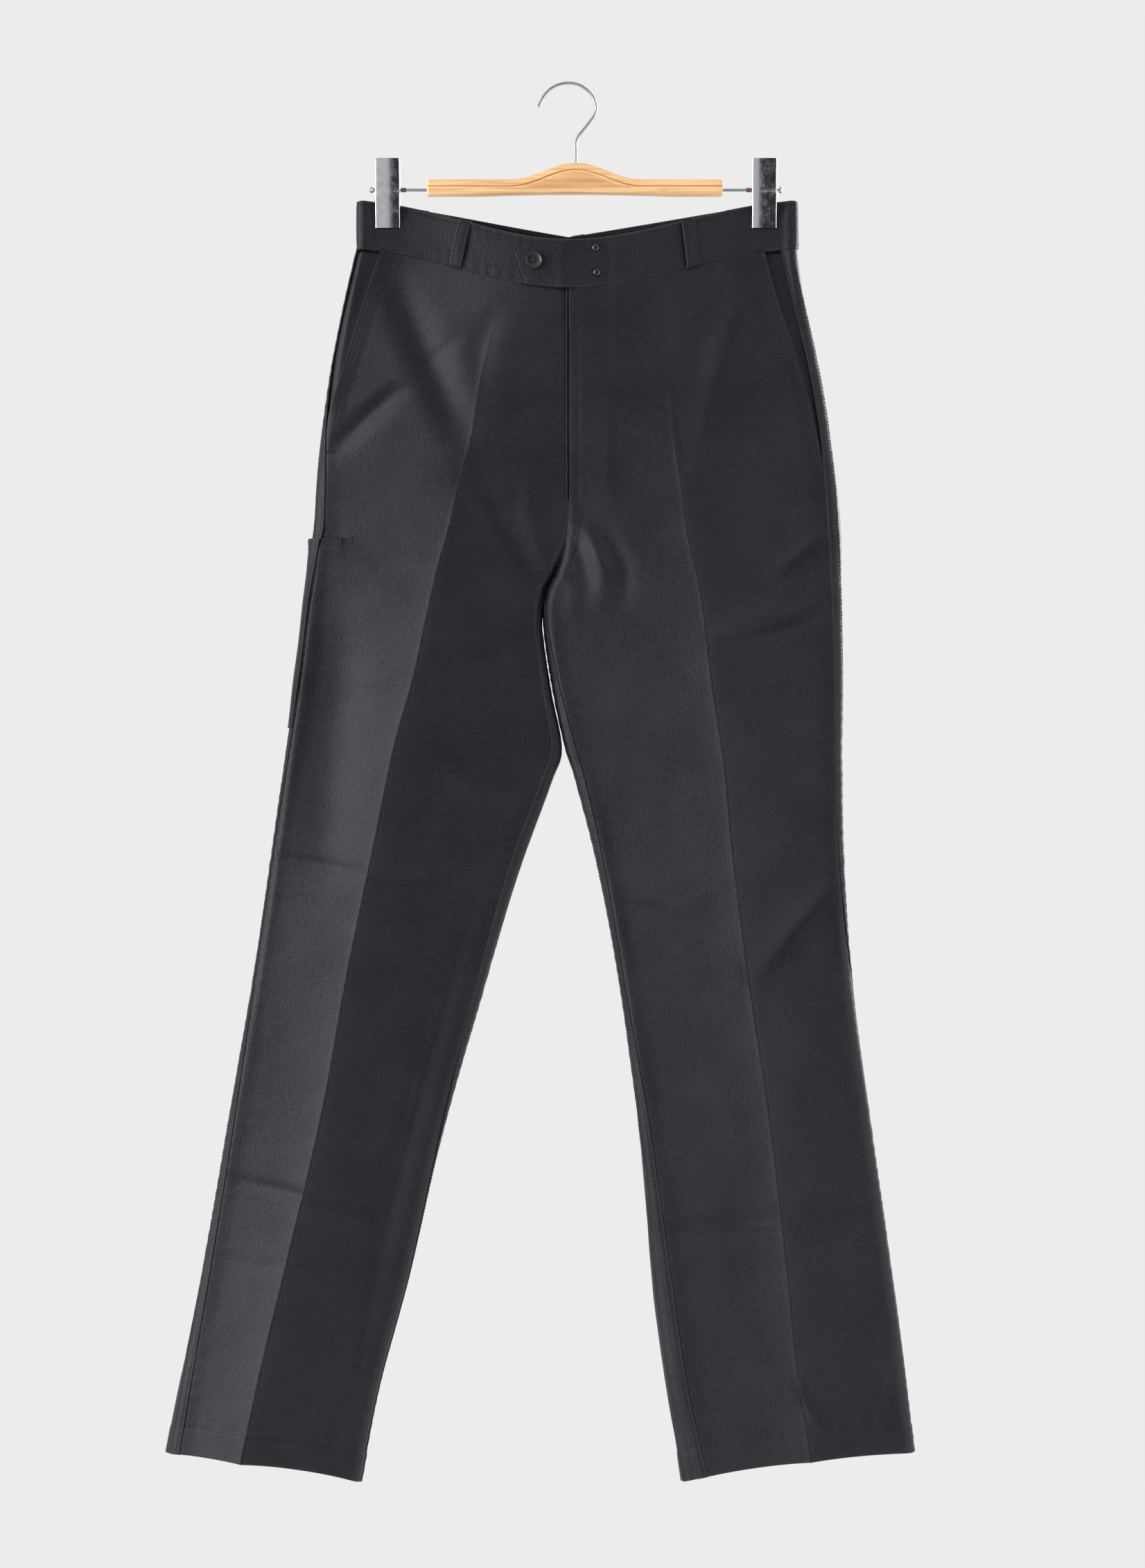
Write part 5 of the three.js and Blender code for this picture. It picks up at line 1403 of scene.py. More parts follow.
class Bench:
    """The bench for hard pieces: one operator at a time on one piece, in metres."""

    @staticmethod
    def take(piece: Piece | None) -> Piece | None:
        """Leaves edit mode and selects one piece alone, or nothing."""
        if bpy.context.mode != "OBJECT":
            bpy.ops.object.mode_set(mode="OBJECT")
        bpy.ops.object.select_all(action="DESELECT")
        if piece:
            piece.select_set(True)
            bpy.context.view_layer.objects.active = piece
        return piece

    @staticmethod
    def start(name: str, primitive: Callable[..., object], stretch: Sequence[float] = (1, 1, 1),
              **values: object) -> Piece:
        """Adds a primitive with its place in its mesh, and opens it in edit mode, all selected.

        Args:
            name: the new piece's name.
            primitive: the operator that adds it.
            stretch: how far it is stretched along its own axes.
            values: the operator's settings.

        Returns:
            The new piece.
        """
        Bench.take(None)
        primitive(**values)
        piece = bpy.context.object
        piece.name = name
        piece.scale = stretch
        bpy.ops.object.transform_apply(location=True, rotation=True, scale=True)
        bpy.ops.object.mode_set(mode="EDIT")
        return piece

    @staticmethod
    def pick(chosen: Callable[[Vector, Vector], bool], kind: str = "VERT") -> None:
        """Selects the vertices, edges or faces that pass a test.

        Args:
            chosen: tells from the middle and the direction of each whether it is selected.
            kind: VERT, EDGE or FACE.
        """
        bpy.ops.mesh.select_mode(type=kind)
        bpy.ops.mesh.select_all(action="DESELECT")
        data = bpy.context.object.data
        mesh = bmesh.from_edit_mesh(data)
        for vertex in mesh.verts if kind == "VERT" else ():
            vertex.select = chosen(vertex.co, vertex.normal)
        for edge in mesh.edges if kind == "EDGE" else ():
            a, b = (vertex.co for vertex in edge.verts)
            edge.select_set(chosen((a + b) / 2, (b - a).normalized()))
        for face in mesh.faces if kind == "FACE" else ():
            face.select_set(chosen(face.calc_center_median(), face.normal))
        mesh.select_flush_mode()
        bmesh.update_edit_mesh(data)

    @staticmethod
    def push(x: float, y: float, z: float) -> None:
        """Extrudes what is selected by a step in millimetres."""
        bpy.ops.mesh.extrude_region_move(TRANSFORM_OT_translate={"value": (x * MM, y * MM, z * MM)})

    @staticmethod
    def modify(piece: Piece, kind: str, **values: object) -> None:
        """Gives a piece a modifier and applies it."""
        Bench.take(piece)
        modifier = piece.modifiers.new(kind.title(), kind)
        for key, value in values.items():
            setattr(modifier, key, value)
        bpy.ops.object.modifier_apply(modifier=modifier.name)

    @staticmethod
    def cut(piece: Piece, *cutters: Piece) -> None:
        """Cuts other pieces' shapes out of a piece and removes them."""
        for cutter in cutters:
            Bench.modify(piece, "BOOLEAN", operation="DIFFERENCE", object=cutter, solver="EXACT")
            bpy.data.objects.remove(cutter)

    @staticmethod
    def place(piece: Piece, matrix: Matrix) -> Piece:
        """Moves a piece's mesh by a matrix and leaves its object at the origin."""
        Bench.take(piece)
        piece.matrix_world = matrix
        bpy.ops.object.transform_apply(location=True, rotation=True, scale=True)
        return piece

    @staticmethod
    def join(name: str, pieces: Sequence[Piece]) -> Piece:
        """Joins pieces into one."""
        Bench.take(pieces[0])
        for piece in pieces:
            piece.select_set(True)
        bpy.ops.object.join()
        pieces[0].name = name
        return pieces[0]

    @staticmethod
    def turn(name: str, profile: Path, segments: int = 48) -> Piece:
        """Turns a profile about Z, ring by ring from a disc.

        Args:
            name: the new piece's name.
            profile: radius and height of each ring, in millimetres.
            segments: how many corners a ring has.

        Returns:
            The turned piece.
        """
        (radius, height), *rest = profile
        piece = Bench.start(name, bpy.ops.mesh.primitive_circle_add, vertices=segments, radius=radius * MM,
                            fill_type="NGON", location=(0, 0, height * MM))
        for next_radius, next_height in rest:
            Bench.push(0, 0, next_height - height)
            share = next_radius / radius
            bpy.ops.transform.resize(value=(share, share, 1), center_override=(0, 0, next_height * MM))
            radius, height = next_radius, next_height
        Bench.face_out()
        return Bench.take(piece)

    @staticmethod
    def face_out() -> None:
        """Turns every face of the open piece outwards."""
        bpy.ops.mesh.select_all(action="SELECT")
        bpy.ops.mesh.normals_make_consistent(inside=False)

    @staticmethod
    def lay(piece: Piece) -> Piece:
        """Lays a turned piece along X, on the rod's line."""
        line = Matrix.Translation((0, 0, ROD_HEIGHT * MM))
        return Bench.place(piece, line @ Matrix.Rotation(math.pi / 2, 4, "Y"))

    @staticmethod
    def bar(name: str, radius: float, start: float, end: float) -> Piece:
        """A round bar on the rod's line, in millimetres."""
        return Bench.lay(Bench.turn(name, [(radius, start), (radius, end)], 32))

    @staticmethod
    def finish(piece: Piece, rounding: float = 0.0, angle: float = 35.0,
               segments: int = 2) -> Piece:
        """Rounds a piece's sharp edges and shades it smooth."""
        if rounding:
            Bench.modify(piece, "BEVEL", width=rounding * MM, segments=segments, limit_method="ANGLE",
                         angle_limit=math.radians(angle))
        Bench.take(piece)
        bpy.ops.object.shade_smooth_by_angle(angle=math.radians(angle))
        return piece


@dataclass
class HangerBar:
    """The wooden bar: a beech rail with a crown, a routed line along it and a veneer inlay."""

    left: float = -122.7
    right: float = 133.3
    bottom: float = -96.6
    top: float = -82.9
    depth: float = 12.0
    rounding: float = 1.5
    crown_centre: float = 6.0
    crown_half: float = 57.0
    crown_rise: float = 14.3
    crown_power: float = 1.05
    arch: float = 1.6
    arch_half: float = 85.0
    line: tuple[float, float] = (-89.3, -88.2)
    line_rise: float = 14.2
    line_depth: float = 1.5
    inlay: Four = (-41.5, 53.5, -90.4, -90.0)
    inlay_half: float = 49.5
    inlay_rise: float = 13.7

    def _wave(self, x: float, half: float) -> float:
        """The crown's smooth crest across the bar, from 0 to 1."""
        u = min(1.0, abs((x - self.crown_centre) / half))
        return (0.5 + 0.5 * math.cos(u * math.pi)) ** self.crown_power

    def _arch(self, x: float) -> float:
        """How far the bar's underside arches up."""
        u = min(1.0, abs(x - self.crown_centre) / self.arch_half)
        return self.arch * math.sqrt(0.5 + 0.5 * math.cos(u * math.pi))

    def _board(self, name: str, box: Sequence[float], lift: Callable[[float], tuple[float, float]],
               columns: int = 99) -> Piece:
        """A board whose lower and upper edge are lifted along its length.

        Args:
            name: the new piece's name.
            box: its lowest and highest X, Y and Z in millimetres.
            lift: how far the lower and the upper edge rise at an X.
            columns: how many steps the lift is made in.

        Returns:
            The board.
        """
        x0, x1, y0, y1, z0, z1 = box
        centre = Vector((x0 + x1, y0 + y1, z0 + z1)) * MM / 2
        size = ((x1 - x0) * MM, (y1 - y0) * MM, (z1 - z0) * MM)
        piece = Bench.start(name, bpy.ops.mesh.primitive_cube_add, size, size=1, location=centre)
        Bench.pick(lambda _, way: abs(way.x) > ALONG, "EDGE")
        bpy.ops.mesh.subdivide(number_cuts=columns)
        for x in np.linspace(x0, x1, columns + 2):
            for rise, upper in zip(lift(float(x))[::-1], (True, False)):
                if rise > 0.004:
                    Bench.pick(lambda at, _: abs(at.x - x * MM) < TOUCH and (at.z > centre.z) == upper)
                    bpy.ops.transform.translate(value=(0, 0, rise * MM))
        return Bench.take(piece)

    def build(self) -> Piece:
        """The bar with its routed line and its bores for the rod and the hook.

        Returns:
            The bar.
        """
        half = self.depth / 2
        bar = self._board("hanger_bar_wood", (self.left, self.right, -half, half, self.bottom, self.top),
                          lambda x: (self._arch(x), self.crown_rise * self._wave(x, self.crown_half)))
        Bench.finish(bar, self.rounding, 40, 3)
        box = (self.left - 1, self.right + 1, -half - 1, self.line_depth - half, *self.line)
        router = self._board("router", box,
                             lambda x: (self.line_rise * self._wave(x, self.crown_half),) * 2)
        bore = Bench.bar("bore", ROD_RADIUS + 0.3, self.left - 5, self.right + 5)
        neck = Bench.turn("neck", [(ROD_RADIUS + 0.2, -81.5), (ROD_RADIUS + 0.2, -50)], 24)
        Bench.place(neck, Matrix.Translation((self.crown_centre * MM, 0, 0)))
        Bench.cut(bar, router, bore, neck)
        return Bench.finish(bar)

    def build_inlay(self) -> Piece:
        """The lens of darker veneer let into the crown."""
        x0, x1, low, high = self.inlay
        face = -self.depth / 2
        inlay = self._board("hanger_inlay", (x0, x1, face - 0.15, face + 1.0, low, high),
                            lambda x: (0.0, self.inlay_rise * self._wave(x, self.inlay_half)), 63)
        return Bench.finish(inlay, 0.12, 40)


@dataclass
class HangerWire:
    """The chromed steel: the hook's wire, and the rod with its knobs that carries the clips."""

    radius: float = 1.3
    rod_from: float = -169.0
    rod_to: float = 181.5
    knob: Path = ((2.4, 0.4), (2.8, 1.6), (2.4, 2.8), (1.2, 3.4), (0.3, 3.6))
    collar_length: float = 4.5
    collar_radius: float = 1.9
    collars: tuple[float, float] = (-145.2, 153.5)
    route: Path = (
        (-26.6, -19.4), (-20.4, -8.4), (-14.2, -2.6), (-7.2, 0.4), (0.1, 1.3), (7.4, 0.2), (14.4, -3.6),
        (19.8, -9.2), (22.9, -15.6), (23.6, -21.2), (22.2, -26.4), (19.6, -30.4), (13.4, -38.4), (7.6, -46),
        (6, -50.4), (6, -56), (6, -81),
    )

    def build_hook(self) -> Piece:
        """The hook, from its tip over the top and down into the bar."""
        curve = bpy.data.curves.new("hanger_hook_wire", "CURVE")
        curve.dimensions = "3D"
        curve.bevel_depth = self.radius * MM
        curve.bevel_resolution = 6
        curve.use_fill_caps = True
        spline = curve.splines.new("BEZIER")
        spline.bezier_points.add(len(self.route) - 1)
        for knot, (x, z) in zip(spline.bezier_points, self.route):
            knot.co = (x * MM, 0, z * MM)
            knot.handle_left_type = knot.handle_right_type = "AUTO"
        piece = Bench.take(new_piece("hanger_hook_wire", curve))
        bpy.ops.object.convert(target="MESH")
        bpy.ops.object.mode_set(mode="EDIT")
        bpy.ops.mesh.select_all(action="SELECT")
        bpy.ops.mesh.remove_doubles(threshold=0.02 * MM)
        Bench.face_out()
        return Bench.finish(piece, 0.45, 60)

    def build_rod(self) -> Piece:
        """The rod with a turned knob at each end."""
        start = [(r, self.rod_from - away) for r, away in self.knob][::-1]
        end = [(r, self.rod_to + away) for r, away in self.knob]
        profile = [*start, (self.radius, self.rod_from), (self.radius, self.rod_to), *end]
        return Bench.finish(Bench.lay(Bench.turn("hanger_rod_steel", profile, 24)))

    def build_collars(self) -> Piece:
        """The two short sleeves on the rod beside the clips."""
        sleeves = []
        for start in self.collars:
            end = start + self.collar_length
            sleeve = Bench.bar("collar", self.collar_radius, start, end)
            Bench.cut(sleeve, Bench.bar("bore", self.radius + 0.02, start - 1, end + 1))
            sleeves.append(Bench.finish(sleeve, 0.25))
        return Bench.join("hanger_collars", sleeves)


@dataclass
class Clip:
    """One steel clip: two bent jaws with turned-in sides and ears on the rod, and a coiled spring."""

    half: Half
    width: float = 21.4
    wall: float = 1.1
    outline: Path = (
        (5.2, -124.8), (5.2, -118), (6.8, -112), (9.8, -103), (9.5, -94), (8.1, -86), (10.3, -76),
        (14.2, -66.2),
    )
    turned_in: float = 2.2
    side_radius: float = 0.9
    ear_reach: float = 9.6
    ear_narrowing: float = 0.62
    ear_from: float = -104.0
    ear_to: float = -85.0
    nested: float = 3.0
    dimple: tuple[float, float] = (-11.1, -71.2)
    coil_radius: float = 3.2
    coil_wire: float = 0.62
    coil_length: float = 13.6
    coil_turns: int = 9

    def build_jaw(self, facing: int) -> Piece:
        """One jaw, at the origin along X.

        Args:
            facing: -1 for the front jaw and 1 for the back one.

        Returns:
            The jaw.
        """
        width = self.width - (self.nested if facing > 0 else 0)
        (y, z), (_, z_next), *rest = self.outline
        centre = Vector((0, facing * y, (z + z_next) / 2)) * MM
        size = (width * MM, (z_next - z) * MM, 1)
        jaw = Bench.start("jaw", bpy.ops.mesh.primitive_plane_add, size, size=1, location=centre,
                          rotation=(math.pi / 2, 0, 0))
        z = z_next
        for y_next, z_next in rest:
            Bench.pick(lambda at, way: abs(way.x) > ALONG and abs(at.z - z * MM) < TOUCH, "EDGE")
            Bench.push(0, facing * (y_next - y), z_next - z)
            y, z = y_next, z_next
        Bench.pick(lambda at, _: abs(at.x) > width / 2 * MM - TOUCH, "EDGE")
        Bench.push(0, -facing * self.turned_in, 0)
        Bench.pick(lambda at, _: self._on_flange(at), "EDGE")
        Bench.push(0, -facing * self.ear_reach, 0)
        bpy.ops.transform.resize(value=(1, 1, self.ear_narrowing), center_override=(0, 0, ROD_HEIGHT * MM))
        Bench.face_out()
        Bench.take(jaw)
        Bench.modify(jaw, "BEVEL", width=self.side_radius * MM, segments=3, limit_method="ANGLE",
                     angle_limit=math.radians(50))
        Bench.modify(jaw, "SOLIDIFY", thickness=self.wall * MM, offset=-1, use_even_offset=True)
        Bench.cut(jaw, Bench.bar("bore", ROD_RADIUS + 0.3, -width, width))
        return Bench.finish(jaw, 0.3, 50)

    def _on_flange(self, at: Vector) -> bool:
        """Whether an edge's middle lies on the free edge of a turned-in side, where an ear starts."""
        depths, heights = zip(*self.outline)
        plate = float(np.interp(at.z / MM, heights, depths))
        free = abs(abs(at.y) / MM - (plate - self.turned_in)) < 0.6
        return free and self.ear_from * MM < at.z < self.ear_to * MM

    def build_dimple(self) -> Piece:
        """The small pressed dome near the front jaw's top."""
        y, z = self.dimple
        dome = Bench.turn("dimple", [(1.2, 0), (1.1, 0.3), (0.8, 0.6), (0.4, 0.8), (0.1, 0.85)], 20)
        tilt = Matrix.Rotation(math.radians(110), 4, "X")
        return Bench.finish(Bench.place(dome, Matrix.Translation((0, y * MM, z * MM)) @ tilt))

    def build_spring(self) -> Piece:
        """The spring's coils round the rod, at the origin along X."""
        coil = Bench.start("spring", bpy.ops.mesh.primitive_circle_add, vertices=8,
                           radius=self.coil_wire * MM, rotation=(math.pi / 2, 0, 0),
                           location=(-self.coil_length / 2 * MM, 0, self.coil_radius * MM))
        Bench.modify(coil, "SCREW", axis="X", iterations=self.coil_turns, steps=16, render_steps=16,
                     screw_offset=self.coil_length / self.coil_turns * MM)
        bpy.ops.object.mode_set(mode="EDIT")
        bpy.ops.mesh.select_all(action="SELECT")
        bpy.ops.mesh.fill_holes(sides=8)
        Bench.face_out()
        Bench.place(coil, Matrix.Translation((0, 0, ROD_HEIGHT * MM)))
        return Bench.finish(coil, angle=60)

    def build(self) -> dict[str, Piece]:
        """The clip's pieces at its place on the rod.

        Returns:
            The pieces by the names of the solids that they stand for.
        """
        front = Bench.join("jaw", [self.build_jaw(-1), self.build_dimple()])
        kinds = {"front_jaw": front, "back_jaw": self.build_jaw(1), "spring": self.build_spring()}
        made = {f"clip_{kind}_{self.half.word}": piece for kind, piece in kinds.items()}
        for node, piece in made.items():
            Bench.place(piece, Matrix.Translation((CLIP_X[self.half] * MM, 0, 0)))
            piece.name = f"{node}_steel"
        return made


@dataclass
class Fastenings:
    """The waistband's button, sewn on with crossed thread, and its two domed rivets."""

    band: Waistband
    button_place: tuple[float, float] = (-29.0, 0.5)
    button_lift: float = 0.5
    button_profile: Path = (
        (5.6, 0), (6.8, 0.4), (7.4, 1.1), (7.5, 1.7), (7.3, 2.3), (6.8, 2.7), (6.2, 2.7), (5.7, 2.35),
        (5.2, 2.1), (3.0, 2.0), (0.6, 2.0),
    )
    hole: float = 0.8
    hole_pitch: float = 1.6
    strand: float = 0.3
    rivet_places: Path = ((23.0, 0.8), (24.0, 0.27))
    rivet_profile: Path = (
        (3.2, 0), (3.3, 0.4), (3.2, 0.8), (2.9, 1.25), (2.4, 1.65), (1.8, 2.0), (1.1, 2.25), (0.5, 2.36),
        (0.1, 2.38),
    )

    def _seat(self, place: tuple[float, float], lift: float) -> Matrix:
        """The place on the band, at an X and a share of its height, with +Z out of the cloth."""
        x, share = place
        arc = np.array([FORM.band_arc(x)])
        points, out = self.band.place_on(self.band.parts[1], np.array([share * BAND_HEIGHT]), arc)
        out_of_cloth = Vector(out[0])
        turn = Vector((0, 0, 1)).rotation_difference(out_of_cloth).to_matrix().to_4x4()
        return Matrix.Translation((Vector(points[0]) + out_of_cloth * lift) * MM) @ turn

    def build_button(self) -> Piece:
        """The dished button with its four holes."""
        button = Bench.turn("button_horn", self.button_profile, 64)
        for dx, dy in ((1, 1), (1, -1), (-1, 1), (-1, -1)):
            drill = Bench.turn("drill", [(self.hole, -1), (self.hole, 4)], 16)
            at = Vector((dx, dy, 0)) * self.hole_pitch * MM
            Bench.cut(button, Bench.place(drill, Matrix.Translation(at)))
        Bench.finish(button, 0.12)
        return Bench.place(button, self._seat(self.button_place, self.button_lift))

    def build_thread(self) -> Piece:
        """The strands that cross over the button and dip into its holes."""
        strands = []
        reach = self.hole_pitch * math.sqrt(2)
        size = (self.strand, self.strand, reach + 0.35)
        for turn, rise in ((45, 2.25), (-45, 2.55)):
            for aside in (-0.32, 0.32):
                strand = Bench.start("strand", bpy.ops.mesh.primitive_uv_sphere_add, size, segments=12,
                                     ring_count=24, radius=MM, rotation=(0, math.pi / 2, 0))
                Bench.pick(lambda at, _: abs(at.x) > (reach - 0.25) * MM)
                bpy.ops.transform.translate(value=(0, 0, -0.6 * MM))
                angle = math.radians(turn)
                shift = Vector((-math.sin(angle) * aside, math.cos(angle) * aside, rise)) * MM
                Bench.place(strand, Matrix.Translation(shift) @ Matrix.Rotation(angle, 4, "Z"))
                strands.append(Bench.finish(strand, angle=60))
        thread = Bench.join("button_thread", strands)
        return Bench.place(thread, self._seat(self.button_place, self.button_lift))

    def build_rivets(self) -> list[Piece]:
        """The two rivets' domed caps."""
        first = Bench.finish(Bench.turn("rivet_cap", self.rivet_profile, 40), angle=50)
        second = first.copy()
        second.data = first.data.copy()
        bpy.context.scene.collection.objects.link(second)
        return [Bench.place(cap, self._seat(place, 0.1))
                for cap, place in zip((first, second), self.rivet_places)]


class NodeSheet:
    """Lays out and links the nodes of one material."""

    def __init__(self, name: str) -> None:
        """Makes an empty node material with its shader and output."""
        self.material = bpy.data.materials.new(name)
        self.material.use_nodes = True
        self.tree = self.material.node_tree
        self.tree.nodes.clear()
        self.output = self.add("ShaderNodeOutputMaterial")
        self.shader = self.add("ShaderNodeBsdfPrincipled")
        self.link(self.shader.outputs["BSDF"], self.output.inputs["Surface"])

    def add(self, kind: str, **values: object) -> bpy.types.Node:
        """Adds a node.

        Args:
            kind: the node's type.
            values: its properties and, failing that, its inputs, as numbers or sockets.

        Returns:
            The node.
        """
        node = self.tree.nodes.new(kind)
        for key, value in values.items():
            if hasattr(node, key):
                setattr(node, key, value)
            else:
                self.feed(node.inputs[key.replace("_", " ")], value)
        return node

    def link(self, source: Socket, target: Socket) -> None:
        """Joins two sockets."""
        self.tree.links.new(source, target)

    def feed(self, target: Socket, value: object) -> None:
        """Joins a socket to another one, or gives it a plain value."""
        if isinstance(value, Socket):
            self.link(value, target)
        elif value is not None:
            target.default_value = value

    def own_place(self) -> Socket:
        """The piece's own coordinates."""
        return self.add("ShaderNodeTexCoord").outputs["Object"]

    def math(self, operation: str, first: object, second: object = None,
             clamp: bool = False) -> Socket:
        """A sum of sockets or numbers."""
        node = self.add("ShaderNodeMath", operation=operation, use_clamp=clamp)
        for socket, value in zip(node.inputs, (first, second)):
            self.feed(socket, value)
        return node.outputs[0]

    def scaled(self, value: object, by: float, plus: float = 0.0,
               clamp: bool = False) -> Socket:
        """A value times one number plus another."""
        product = self.math("MULTIPLY", value, by)
        return self.math("ADD", product, plus, clamp) if plus or clamp else product

    def mix(self, share: object, first: object, second: object) -> Socket:
        """A mixed colour."""
        node = self.add("ShaderNodeMix", data_type="RGBA")
        for index, value in ((0, share), (6, first), (7, second)):
            self.feed(node.inputs[index], value)
        return node.outputs[2]

    def placed(self, source: Socket, scale: Sequence[float],
               turn: float = 0.0) -> Socket:
        """Coordinates scaled and turned about Z."""
        return self.add("ShaderNodeMapping", Vector=source, Scale=scale, Rotation=(0, 0, turn)).outputs[0]

    def noise(self, vector: Socket, scale: float, detail: float = 3.0) -> Socket:
        """Noise of a scale on coordinates."""
        return self.add("ShaderNodeTexNoise", Vector=vector, Scale=scale, Detail=detail).outputs[0]

    def steps(self, value: Socket, low: float, high: float) -> Socket:
        """A value eased from 0 at low to 1 at high."""
        return self.add("ShaderNodeMapRange", interpolation_type="SMOOTHSTEP", Value=value, From_Min=low,
                        From_Max=high).outputs[0]

    def bumped(self, height: Socket, distance: float, strength: float) -> None:
        """Gives the shader a bump from a height."""
        node = self.add("ShaderNodeBump", Strength=strength, Distance=distance, Height=height)
        self.set(Normal=node.outputs["Normal"])

    def set(self, **values: object) -> None:
        """Sets the shader's own sockets."""
        for key, value in values.items():
            self.feed(self.shader.inputs[key.replace("_", " ")], value)


def grey(value: float, warm: float = 0.0) -> Four:
    """A grey, a little warmer or, below 0, cooler."""
    return (value * (1 + warm), value, value * (1 - warm), 1.0)


@dataclass(frozen=True)
class MoleskinFinish:
    """Black satin-faced moleskin: a fine steep twill with slubs and a dull bloom, rubbed at its edges."""

    dark: float = 0.0035
    light: float = 0.0105
    rubbed: float = 0.034
    roughness: float = 0.5
    sheen: float = 0.02
    twill_pitch: float = 1.1
    twill_turn: float = 63.0
    mm: Three = (1000.0, 1000.0, 1000.0)

    def build(self) -> Material:
        """The material, on the cloth's own UV map in metres."""
        n = NodeSheet("moleskin")
        uv = n.add("ShaderNodeUVMap", uv_map="cloth").outputs["UV"]
        flat = n.placed(uv, self.mm)
        twill = n.placed(uv, self.mm, math.radians(self.twill_turn))
        rib = n.add("ShaderNodeTexWave", wave_type="BANDS", bands_direction="X", Vector=twill,
                    Scale=0.314 / self.twill_pitch, Distortion=1.2, Detail=2.0)
        slub = n.noise(n.placed(uv, (900, 150, 1000)), 1.0, 2.0)
        weft = n.noise(n.placed(uv, (110, 620, 1000)), 1.0, 3.0)
        nap = n.noise(flat, 0.5, 4.0)
        mottle = n.noise(flat, 0.16, 4.0)
        cloud = n.noise(flat, 0.02, 3.0)
        yarns = n.math("ADD", n.scaled(slub, 0.5), n.scaled(weft, 0.5))
        tone = n.math("ADD", n.math("ADD", n.scaled(cloud, 0.25), n.scaled(mottle, 0.1)),
                      n.math("ADD", n.scaled(nap, 0.3), n.scaled(yarns, 0.35)))
        colour = n.mix(n.steps(tone, 0.42, 0.58), self._dye(self.dark), self._dye(self.light))
        wear = n.add("ShaderNodeAttribute", attribute_name="wear").outputs["Fac"]
        rub = n.math("MULTIPLY", wear, n.steps(n.scaled(nap, 0.6, 0.05), 0.1, 0.55), clamp=True)
        colour = n.mix(rub, colour, self._dye(self.rubbed))
        colour = n.mix(n.scaled(self._lint(n, flat), 0.35), colour, grey(0.3))
        shine = n.math("ADD", n.scaled(mottle, 0.1), n.scaled(nap, 0.2, self.roughness - 0.15))
        n.set(Base_Color=colour, Roughness=shine, Sheen_Weight=self.sheen, Sheen_Roughness=0.4,
              Sheen_Tint=grey(0.8, -0.05), Specular_IOR_Level=0.3, Specular_Tint=(0.95, 0.9, 1.0, 1.0))
        weave = n.math("ADD", n.scaled(rib.outputs["Fac"], 0.35), n.scaled(yarns, 0.9))
        fuzz = n.math("ADD", n.scaled(nap, 0.9), n.scaled(mottle, 0.5))
        n.bumped(n.math("ADD", weave, fuzz), 0.0004, 0.9)
        return n.material

    @staticmethod
    def _dye(value: float) -> Four:
        """The dye's slightly violet black at a brightness."""
        return (value, value * 0.9, value * 1.3, 1.0)

    @staticmethod
    def _lint(n: NodeSheet, flat: Socket) -> Socket:
        """Rare small specks of lint."""
        cell = n.add("ShaderNodeTexVoronoi", Vector=flat, Scale=0.085)
        speck = n.math("SUBTRACT", 1.0, n.steps(cell.outputs["Distance"], 0.012, 0.032))
        chosen = n.add("ShaderNodeSeparateColor")
        n.link(cell.outputs["Color"], chosen.inputs[0])
        return n.math("MULTIPLY", speck, n.math("GREATER_THAN", chosen.outputs[0], 0.8))


@dataclass(frozen=True)
class ThreadFinish:
    """Black sewing thread, twisted and a little shinier than the cloth."""

    tone: float = 0.006

    def build(self) -> Material:
        """The material."""
        n = NodeSheet("thread")
        twist = n.noise(n.own_place(), 2600.0, 2.0)
        n.set(Base_Color=n.mix(twist, grey(self.tone * 0.7), grey(self.tone * 1.6)), Roughness=0.5,
              Specular_IOR_Level=0.5)
        n.bumped(twist, 0.0001, 0.6)
        return n.material


@dataclass(frozen=True)
class GlossFinish:
    """A smooth hard finish, such as horn, lacquered metal or steel, mottled and finely scratched."""

    name: str
    tone: Three
    metallic: float
    roughness: float
    mottled: float = 0.25
    scratches: float = 0.3
    streaks: Three = (2600.0, 2600.0, 260.0)
    coat: float = 0.0
    relief: float = 0.00004

    def build(self) -> Material:
        """The material, on the piece's own coordinates."""
        n = NodeSheet(self.name)
        place = n.own_place()
        cloud = n.noise(place, 210.0, 5.0)
        low = (*(c * (1 - self.mottled) for c in self.tone), 1.0)
        high = (*(min(1.0, c * (1 + self.mottled)) for c in self.tone), 1.0)
        streak = n.noise(n.placed(place, self.streaks), 1.0, 3.0)
        share = n.steps(n.math("ADD", n.scaled(cloud, 0.7), n.scaled(streak, 0.3)), 0.38, 0.64)
        scuff = n.noise(n.placed(place, (500, 500, 90), 0.5), 1.0, 4.0)
        line = n.math("ADD", n.steps(streak, 0.56, 0.7), n.steps(scuff, 0.58, 0.66))
        matt = n.scaled(share, 0.08, self.roughness - 0.04)
        rough = n.math("ADD", n.scaled(line, self.scratches * 0.4), matt)
        n.set(Base_Color=n.mix(share, low, high), Roughness=rough, Metallic=self.metallic,
              Coat_Weight=self.coat, Coat_Roughness=0.08)
        n.bumped(n.math("ADD", line, cloud), self.relief, 0.5)
        return n.material


